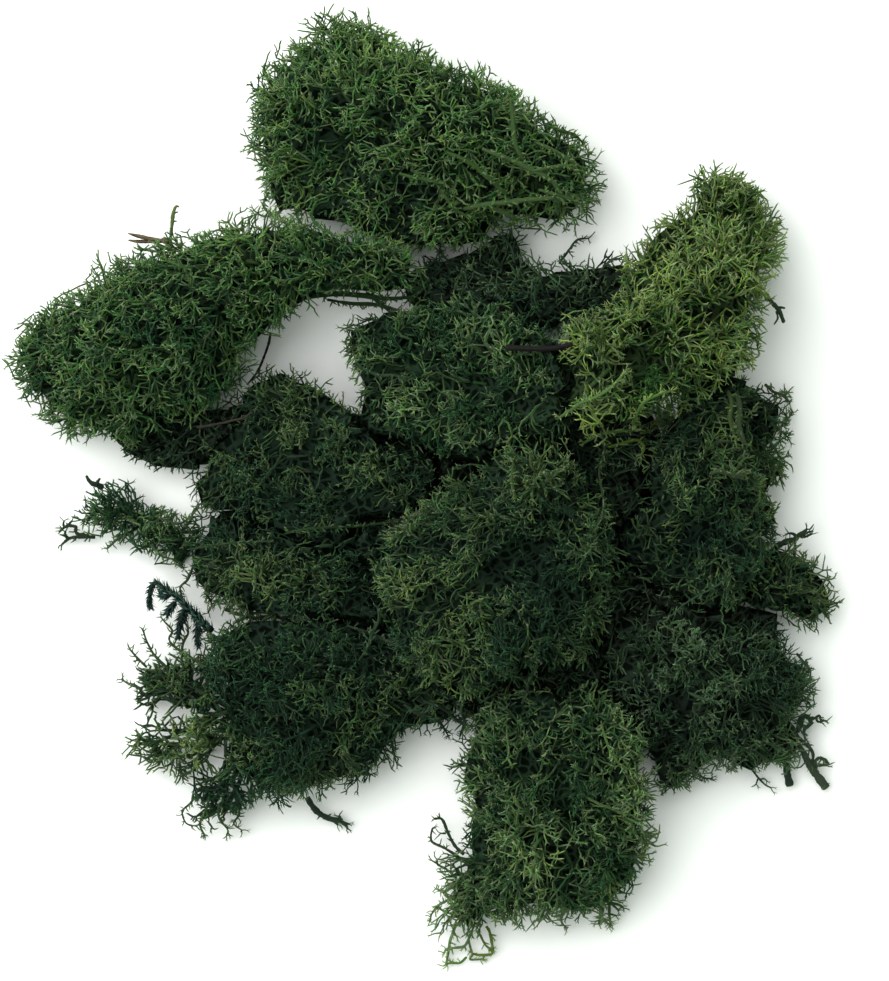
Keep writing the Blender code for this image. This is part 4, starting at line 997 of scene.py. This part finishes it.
# Loose branches: (x, y, z, radius) along each limb. A limb's end is forked, round or cut.
sprigs = {
    "left_claw_sprig": [
        [(-50.2, -6.6, 2, 0.28), (-51.4, -6.6, 1.8, 0.28), (-52.8, -6.6, 1.6, 0.27),
         (-53.7, -6.7, 1.45, 0.25), (-54.4, -7.0, 1.3, 0.24), (-55.3, -7.8, 1.1, 0.19)],
        [(-54.1, -6.9, 1.4, 0.2), (-54.7, -6.3, 1.5, 0.2), (-54.7, -5.7, 1.6, 0.17)],
        [(-51.1, -6.4, 1.9, 0.27), (-52.0, -6.3, 1.8, 0.26), (-52.9, -6.1, 1.6, 0.26),
         (-53.2, -5.5, 1.7, 0.25), (-53.1, -5.1, 1.8, 0.25), (-54.1, -4.9, 1.7, 0.25),
         (-54.9, -5.2, 1.6, 0.22), (-55.6, -5.8, 1.3, 0.17)],
        [(-54.1, -4.9, 1.7, 0.2), (-54.0, -4.5, 1.8, 0.19), (-53.7, -4.2, 1.8, 0.16)],
        [(-54.9, -5.2, 1.6, 0.18), (-55.0, -4.6, 1.6, 0.17), (-54.9, -4.2, 1.6, 0.15)],
    ],
    "left_horn_sprig": [
        [(-49.0, 0.9, 4.4, 0.42), (-49.9, 1.3, 5.1, 0.42), (-50.5, 1.5, 5.6, 0.36), (-51.0, 2.0, 5.9, 0.29),
         (-51.3, 2.6, 6.2, 0.2)],
        [(-49.8, 1.4, 5.3, 0.27), (-49.6, 1.8, 5.8, 0.24), (-49.3, 2.2, 6.4, 0.18)],
    ],
    "small_right_sprig": [
        [(51.2, 29.3, 12.2, 0.3), (51.9, 28.5, 12, 0.32), (52.5, 27.9, 11.6, 0.36), (53.0, 27.2, 11, 0.34),
         (53.6, 25.8, 9.8, 0.3)],
        [(52.7, 27.8, 11.4, 0.26), (53.1, 27.9, 11.5, 0.22), (53.7, 27.8, 11.6, 0.17)],
        [(52.5, 27.3, 11.2, 0.18), (52.7, 26.3, 10.6, 0.16), (52.2, 25.4, 10, 0.12)],
    ],
    "right_horn_sprig": [
        [(52.4, -8.1, 6, 0.45), (53.7, -7.5, 6, 0.45), (54.5, -7.2, 6, 0.45), (55.5, -6.9, 6, 0.42),
         (56.1, -6.3, 6, 0.36), (56.9, -5.8, 6, 0.28), (57.3, -5.4, 6, 0.19)],
        [(55.8, -6.6, 6, 0.28), (55.2, -6.1, 6.1, 0.22), (54.5, -6.0, 6.1, 0.15)],
        [(56.3, -6.4, 5.9, 0.26), (57.0, -6.1, 5.9, 0.22), (57.8, -5.7, 5.8, 0.15)],
        [(56.3, -6.6, 5.9, 0.24), (57.2, -6.5, 5.8, 0.2), (58.1, -6.1, 5.7, 0.14)],
    ],
    "lower_right_antler": [
        [(52.8, -34.4, 3.4, 0.26), (54.5, -34.6, 3.5, 0.27), (55.4, -35.5, 3.5, 0.27),
         (56.0, -36.7, 3.3, 0.28), (56.9, -37.6, 3.1, 0.3), (57.9, -38.5, 2.8, 0.27),
         (58.4, -39.6, 2.6, 0.24), (58.2, -41.1, 2.3, 0.16)],
        [(56.0, -36.1, 3.4, 0.3), (56.3, -35.1, 3.6, 0.5), (56.5, -34.2, 3.7, 0.55),
         (57.0, -33.6, 3.7, 0.42), (57.8, -34.1, 3.6, 0.34), (57.9, -34.9, 3.5, 0.28),
         (57.0, -35.8, 3.4, 0.26), (57.2, -37.3, 3.1, 0.18)],
        [(57.6, -34.3, 3.5, 0.26), (58.7, -33.9, 3.3, 0.22), (59.3, -33.6, 3.2, 0.2),
         (59.6, -34.3, 3.1, 0.2), (60.5, -34.4, 2.8, 0.13)],
        [(58.7, -33.9, 3.3, 0.2), (59.1, -34.5, 3.1, 0.18), (59.7, -34.5, 3, 0.14)],
    ],
    "lower_right_stem": [
        [(56.0, -37.8, 2.8, 0.34), (56.9, -39.1, 2.7, 0.42), (57.6, -40.6, 2.4, 0.52),
         (58.5, -42.0, 1.9, 0.58), (59.4, -43.2, 1.7, 0.6), (60.3, -44.4, 1.4, 0.66)],
        [(58.5, -41.7, 2.1, 0.3), (58.7, -40.6, 2.4, 0.28), (59.3, -40.0, 2.8, 0.27),
         (60.1, -40.3, 2.7, 0.3), (60.6, -40.9, 2.5, 0.34)],
        [(58.8, -41.2, 2.1, 0.22), (59.6, -41.1, 2.3, 0.24), (60.5, -41.1, 2.4, 0.2)],
    ],
    "short_cut_stem": [
        [(54.2, -39.6, 2, 0.46), (54.4, -40.9, 1.8, 0.52), (54.5, -42.3, 1.6, 0.58),
         (54.9, -44.1, 1.35, 0.62)],
    ],
    "lower_right_thread": [
        [(47.7, -40.0, 2.2, 0.2), (49.2, -41.8, 1.7, 0.18), (50.1, -43.0, 1.4, 0.16),
         (51.2, -44.1, 1.1, 0.14), (52.1, -44.6, 1, 0.12)],
        [(50.1, -43.2, 1.4, 0.13), (49.8, -44.1, 1.1, 0.1)],
        [(50.3, -43.3, 1.4, 0.13), (51.0, -43.2, 1.3, 0.12), (51.5, -43.6, 1.1, 0.09)],
    ],
    "lower_left_stem": [
        [(-18.1, -46.0, 2.5, 0.4), (-17.4, -47.2, 2.3, 0.42), (-16.3, -48.4, 1.9, 0.42),
         (-14.8, -49.2, 1.6, 0.42), (-13.3, -49.6, 1.4, 0.46), (-12.4, -50.1, 1.2, 0.3),
         (-12.0, -50.8, 0.9, 0.17)],
        [(-13.0, -49.5, 1.5, 0.36), (-13.3, -48.8, 1.7, 0.19)],
        [(-12.7, -49.8, 1.3, 0.24), (-11.7, -50.1, 1.1, 0.13)],
        [(-14.1, -49.5, 1.5, 0.3), (-13.5, -50.2, 1.1, 0.15)],
    ],
    "bottom_left_antler": [
        [(5.6, -54.6, 3.4, 0.25), (4.2, -53.2, 3.3, 0.24), (3.2, -51.3, 2.9, 0.24), (2.3, -49.3, 2.6, 0.22),
         (1.2, -49.2, 2.4, 0.17)],
        [(2.9, -51.4, 2.9, 0.18), (2.0, -51.4, 2.8, 0.13)],
        [(5.7, -55.5, 3.4, 0.23), (3.8, -54.3, 3.1, 0.22), (2.4, -53.5, 2.8, 0.2), (0.9, -52.8, 2.6, 0.2),
         (0.6, -52.0, 2.6, 0.18), (0.8, -50.8, 2.8, 0.17), (1.2, -50.5, 2.8, 0.13)],
        [(4.5, -58.2, 2.6, 0.2), (2.9, -56.8, 2.2, 0.18), (1.7, -56.2, 1.9, 0.17), (1.5, -55.3, 1.9, 0.14)],
        [(1.7, -56.1, 1.9, 0.15), (0.8, -55.6, 1.7, 0.12)],
    ],
    "bottom_tip_sprig": [
        [(4.5, -64.9, 2, 0.25), (3.5, -67.8, 1.5, 0.23), (3.2, -69.6, 1.1, 0.22), (2.9, -71.4, 0.85, 0.17)],
        [(6.8, -66.1, 1.9, 0.24), (6.5, -67.0, 1.8, 0.23), (5.7, -68.5, 1.5, 0.22), (4.2, -68.8, 1.4, 0.2),
         (3.0, -69.0, 1.3, 0.19), (2.6, -69.6, 1.2, 0.14)],
        [(9.0, -65.5, 1.9, 0.24), (9.5, -66.4, 1.8, 0.23), (9.9, -68.5, 1.3, 0.22), (9.8, -69.7, 1.1, 0.22),
         (8.0, -69.9, 1, 0.2), (6.9, -69.7, 1, 0.19)],
        [(7.1, -69.6, 1.1, 0.2), (6.5, -70.5, 1, 0.18), (7.5, -70.6, 0.9, 0.17), (8.6, -70.5, 0.9, 0.13)],
        [(8.0, -66.7, 1.8, 0.2), (8.9, -68.4, 1.4, 0.18), (9.8, -69.0, 1.3, 0.15)],
        [(6.0, -70.2, 1.1, 0.18), (5.0, -71.1, 0.9, 0.18), (3.8, -71.1, 0.85, 0.18),
         (3.2, -71.2, 0.8, 0.14)],
        [(6.3, -67.6, 1.7, 0.2), (6.8, -69.6, 1.2, 0.19)],
    ],
    "bottom_right_sprig": [
        [(23.9, -59.7, 4.2, 0.3), (25.1, -60.4, 3.9, 0.3), (26.0, -61.0, 3.5, 0.28), (27.5, -61.8, 3, 0.26),
         (29.0, -62.2, 2.6, 0.21), (29.8, -62.8, 2.3, 0.15)],
        [(27.2, -61.8, 3.1, 0.24), (27.9, -60.9, 3.2, 0.22), (28.4, -60.4, 3.3, 0.15)],
        [(27.6, -61.9, 3, 0.2), (28.4, -62.5, 2.6, 0.18), (29.0, -63.1, 2.4, 0.14)],
        [(27.6, -61.9, 3, 0.24), (27.6, -63.7, 2.2, 0.22), (27.8, -65.2, 1.5, 0.16)],
        [(27.6, -63.6, 2.2, 0.18), (28.7, -63.9, 1.9, 0.12)],
        [(25.8, -61.3, 3.4, 0.26), (26.6, -62.8, 2.8, 0.24), (26.3, -64.0, 2.2, 0.22),
         (26.0, -65.2, 1.6, 0.16)],
        [(26.3, -64.2, 2.1, 0.18), (27.5, -64.6, 1.8, 0.14)],
        [(26.1, -64.6, 2, 0.16), (25.4, -64.8, 1.8, 0.11)],
    ],
    "feather_moss_shoot": [
        [(-32.2, -20.8, 6.6, 0.3), (-34.0, -19.3, 6.6, 0.3), (-35.5, -17.8, 6.6, 0.28),
         (-37.0, -16.2, 6.3, 0.26), (-38.5, -15.0, 6, 0.24), (-40.0, -14.1, 5.5, 0.22),
         (-40.9, -13.5, 5.2, 0.2), (-41.6, -14.5, 4.6, 0.18), (-41.9, -16.0, 3.8, 0.16),
         (-41.8, -17.4, 3.3, 0.1)],
        [(-36.3, -17.2, 6.5, 0.2), (-36.9, -18.7, 5.8, 0.18), (-37.3, -20.2, 5, 0.16),
         (-37.6, -21.7, 4.3, 0.1)],
        [(-37.8, -16.3, 6.2, 0.18), (-38.8, -17.5, 5.4, 0.15), (-39.3, -18.3, 4.8, 0.1)],
        [(-38.5, -15.3, 6, 0.16), (-40.0, -15.6, 5.5, 0.14), (-40.2, -14.8, 5.4, 0.1)],
        [(-35.4, -18.1, 6.6, 0.18), (-34.5, -19.3, 6.2, 0.17), (-34.6, -21.3, 5.6, 0.15),
         (-34.5, -23.2, 5, 0.1)],
    ],
    "curled_stalk": [
        [(-38.5, 36.9, 11.9, 0.27), (-38.4, 38.6, 12.2, 0.25), (-38.2, 40.1, 12.5, 0.28),
         (-38.1, 41.3, 12.6, 0.33), (-37.9, 42.3, 12.7, 0.27), (-37.6, 43.0, 12.4, 0.2),
         (-37.2, 43.0, 12.2, 0.13)],
        [(-37.9, 42.0, 12.6, 0.18), (-37.3, 42.2, 12.6, 0.1)],
        [(-38.1, 40.8, 12.5, 0.18), (-37.5, 40.8, 12.5, 0.1)],
    ],
    "pine_needle_pair": [
        [(-38.7, 37.8, 12, 0.42), (-39.1, 37.8, 11.9, 0.42), (-39.7, 38.0, 11.8, 0.4)],
        [(-39.1, 37.8, 11.9, 0.3), (-41.5, 38.2, 11.5, 0.33), (-43.3, 38.6, 11.3, 0.3),
         (-44.8, 39.0, 11.2, 0.12)],
        [(-39.1, 37.8, 11.8, 0.3), (-41.5, 37.8, 11.3, 0.33), (-43.3, 37.8, 11.1, 0.3),
         (-44.8, 38.0, 11, 0.12)],
    ],
    "red_twig": [
        [(-34.5, 9.9, 12.4, 0.2), (-32.5, 10.2, 12.9, 0.2), (-30.7, 10.5, 13.2, 0.2),
         (-28.8, 11.0, 13.2, 0.2), (-27.3, 11.3, 13.3, 0.19), (-26.2, 12.3, 13.3, 0.16)],
    ],
    "black_twig": [
        [(11.7, 21.6, 25.9, 0.42), (14.3, 21.5, 26, 0.44), (17.0, 21.4, 26.1, 0.42),
         (19.4, 21.6, 26.3, 0.4), (21.5, 22.1, 26.6, 0.36)],
    ],
    "dark_rootlet": [
        [(-23.5, 24.0, 9.2, 0.2), (-23.8, 22.5, 8.5, 0.2), (-24.6, 20.3, 7.6, 0.19),
         (-25.6, 18.2, 6.4, 0.18), (-27.1, 16.4, 5.4, 0.14)],
    ],
}
sprigLooks = {
    "left_claw_sprig": {"finish": "blue_green", "tone": 0.2, "forks": True, "spacing": 1.4},
    "left_horn_sprig": {"finish": "deep_green", "tone": 0.15, "forks": False, "spacing": 0},
    "small_right_sprig": {"finish": "blue_green", "tone": 0.3, "forks": False, "spacing": 0},
    "right_horn_sprig": {"finish": "deep_green", "tone": 0.15, "forks": True, "spacing": 1.5},
    "lower_right_antler": {"finish": "deep_green", "tone": 0.25, "forks": True, "spacing": 1.1},
    "lower_right_stem": {"finish": "cut_green", "tone": 0.12, "forks": True, "spacing": 1.3, "cut": (0, 1)},
    "short_cut_stem": {"finish": "cut_green", "tone": 0.12, "forks": False, "spacing": 0, "cut": (0,)},
    "lower_right_thread": {"finish": "deep_green", "tone": 0.2, "forks": True, "spacing": 0},
    "lower_left_stem": {"finish": "deep_green", "tone": 0.25, "forks": True, "spacing": 1.7},
    "bottom_left_antler": {"finish": "blue_green", "tone": 0.35, "forks": True, "spacing": 1.6},
    "bottom_tip_sprig": {"finish": "yellow_green", "tone": 0.6, "forks": True, "spacing": 1.5},
    "bottom_right_sprig": {"finish": "olive_green", "tone": 0.5, "forks": True, "spacing": 2.2},
    "curled_stalk": {"finish": "yellow_green", "tone": 0.45, "forks": False, "spacing": 0},
}


for order, (name, look) in enumerate(sprigLooks.items()):
    dice = np.random.default_rng(seed * 1000 + order)
    work = Branchwork()
    for limb, marks in enumerate(sprigs[name]):
        line = smoothLine(marks, 4 * len(marks) + 1)
        cut = limb in look.get("cut", ())
        tone = look["tone"] + dice.normal(0, 0.06)
        sides = 10 if line[:, 3].max() > 0.4 else 7
        ways = drawStem(work, line, tone, (0.55, 0.5 if cut else 0.3), sides, cut, dice)[0]
        if look["forks"]:
            growTips(work, twigSpots(line, ways, tone + 0.06, look["spacing"], dice, not cut), dice)
    dress(work, name, "_limbs", lichens[look["finish"]])
print("loose branches drawn")


# Feather moss: thin shoots closed in by pointed leaves under a millimetre long, dyed blue-black
featherMoss = {
    "leaf": {"spacing": 0.06, "length": 1.6, "width": 0.8, "thick": 0.14, "spread": 1.0},
    "finish": {
        "pale": ("#22332F", "#182724", "#13201E", "#101B19", "#0F1817", "#0E1615"),
        "dark": ("#0E1B1B", "#0B1515", "#091112", "#080F10", "#070E0E", "#070D0D"),
    },
}


def addLeaves(work, line, ways, across, leaf, tone, dice):
    run = runAlong(line)
    at = np.arange(0.1, run[-1], leaf["spacing"])
    n = len(at)
    place = np.stack([np.interp(at, run, line[:, i]) for i in range(3)], 1)
    way = unit(np.stack([np.interp(at, run, ways[:, i]) for i in range(3)], 1))
    first = acrossFrom(way, across[np.clip(np.searchsorted(run, at), 0, len(line) - 1)])
    turn = (np.arange(n) * goldenAngle + dice.normal(0, 0.25, n))[:, None]
    side = first * np.cos(turn) + np.cross(way, first) * np.sin(turn)
    size = (dice.uniform(0.75, 1.2, n) * (1 - 0.3 * at / run[-1]))[:, None]
    half = np.cross(way, side) * leaf["width"] / 2 * size
    base = place + side * np.interp(at, run, line[:, 3])[:, None] * 0.5
    point = base + unit(way + side * leaf["spread"] * dice.uniform(0.6, 1.5, (n, 1))) * leaf["length"] * size
    corners = np.stack([base + half, base - half, base + side * leaf["thick"] * size, point], 1)
    age = np.tile([0.55, 0.556, 0.45, 0.04], n)
    shade = np.repeat(tone + dice.normal(0, 0.16, n), 4) + np.tile([0.0, 0.006, -0.006, 0.0], n)
    start = work.keep(corners, age, shade) + np.arange(n) * 4
    for face in ((0, 2, 1), (0, 1, 3), (1, 2, 3), (2, 0, 3)):
        work.tris.append(np.stack([start + k for k in face], 1))


dice = np.random.default_rng(seed * 77)
work = Branchwork()
for marks in sprigs["feather_moss_shoot"]:
    line = smoothLine(marks, 4 * len(marks) + 1)
    ways, across = drawStem(work, line, 0.3, (0.6, 0.4), 6, False, dice)
    addLeaves(work, line, ways, across, featherMoss["leaf"], 0.4, dice)
dress(work, "feather_moss_shoot", "_leaves", lichenMaterial("feather_moss", featherMoss["finish"]))


# Dead wood and needles: thin bark or cuticle, ridged along the grain
barks = {
    "red_twig": {"colours": ("#171311", "#332C28"), "grain": (0.3, 1.6, 1.6), "rough": 0.7, "sides": 8},
    "black_twig": {"colours": ("#060606", "#151311"), "grain": (0.3, 1.6, 1.6), "rough": 0.8, "sides": 10},
    "dark_rootlet": {"colours": ("#0A0907", "#1C1812"), "grain": (1.4, 0.4, 1.4), "rough": 0.75, "sides": 7},
    "pine_needle_pair": {"colours": ("#2A170F", "#655B43"), "grain": (0.15, 2.4, 2.4), "rough": 0.5,
                         "sides": 8},
}


def barkMaterial(name, look):
    made, tree, shader = newMaterial(name, {"roughness": look["rough"], "specular": 0.15})
    where = addNode(tree, "ShaderNodeTexCoord")
    grain = addNode(tree, "ShaderNodeMapping", {"Vector": where.outputs["Object"]}, Scale=look["grain"])
    streaks = addNode(tree, "ShaderNodeTexNoise", {"Vector": grain.outputs["Vector"]},
                      Scale=1 / (0.9 * mm), Detail=4.0, Roughness=0.6)
    tint = addNode(tree, "ShaderNodeValToRGB", {"Fac": streaks.outputs["Fac"]})
    fillRamp(tint, zip((0.36, 0.64), look["colours"]))
    ridges = addNode(tree, "ShaderNodeBump", {"Height": streaks.outputs["Fac"]},
                     Strength=0.5, Distance=0.1 * mm)
    tree.links.new(tint.outputs["Color"], shader.inputs["Base Color"])
    tree.links.new(ridges.outputs["Normal"], shader.inputs["Normal"])
    return made


for order, (name, look) in enumerate(barks.items()):
    dice = np.random.default_rng(seed * 3000 + order)
    work = Branchwork()
    for marks in sprigs[name]:
        drawStem(work, smoothLine(marks, 5 * len(marks) + 1), 0.5, (0.6, 0.3), look["sides"], False, dice)
    twig = dress(work, name, "_bark", barkMaterial(name + "_bark", look)).data
    twig.uv_layers.remove(twig.uv_layers[bakeMap])
print("twigs and needles laid")


# Floor, light and camera: a matt white tabletop that shows soft shadows, in a pale room by a window
table = {"size": 4.0, "colour": "#F4F5F3"}
floorMesh = bpy.data.meshes.new("table_top")
slab = bmesh.new()
bmesh.ops.create_grid(slab, x_segments=1, y_segments=1, size=table["size"] / 2)
slab.to_mesh(floorMesh)
slab.free()
floor = bpy.data.objects.new("table_top", floorMesh)
floor.location.z = -0.0001
bpy.context.scene.collection.objects.link(floor)
white, whiteTree, whiteShader = newMaterial("white_table", {"roughness": 0.7, "specular": 0.4})
whiteShader.inputs["Base Color"].default_value = linearOf(table["colour"])
floorMesh.materials.append(white)

roomLight = {"colour": "#E6F5E8", "strength": 0.55}
windowLight = {"way": (-0.44, 0.34, 0.85), "distance": 2.0, "size": 3.0, "power": 88}
world = bpy.data.worlds.new("soft_room")
bpy.context.scene.world = world
world.use_nodes = True
world.node_tree.nodes["Background"].inputs["Color"].default_value = linearOf(roomLight["colour"])
world.node_tree.nodes["Background"].inputs["Strength"].default_value = roomLight["strength"]

lamp = bpy.data.lights.new("window", "AREA")
lamp.shape = "DISK"
lamp.size = windowLight["size"]
lamp.energy = windowLight["power"]
key = bpy.data.objects.new("window", lamp)
key.location = Vector(windowLight["way"]).normalized() * windowLight["distance"]
key.rotation_mode = "QUATERNION"
key.rotation_quaternion = (-key.location).to_track_quat("-Z", "Y")
bpy.context.scene.collection.objects.link(key)

# The camera looks straight down; a pixel is that many mm wide at the given height over the table
view = {"sensor": 36, "pixelsHigh": 981, "pixel": 0.15, "height": 12, "middle": (2.66, 0.42),
        "distance": 1200}
eye = bpy.data.cameras.new("camera")
eye.sensor_width = view["sensor"]
eye.lens = view["sensor"] * (view["distance"] - view["height"]) / (view["pixelsHigh"] * view["pixel"])
eye.clip_start = 0.05
eye.clip_end = 20
camera = bpy.data.objects.new("camera", eye)
camera.location = Vector((*view["middle"], view["distance"])) * mm
bpy.context.scene.collection.objects.link(camera)
bpy.context.scene.camera = camera
bpy.context.scene.view_settings.view_transform = "Standard"
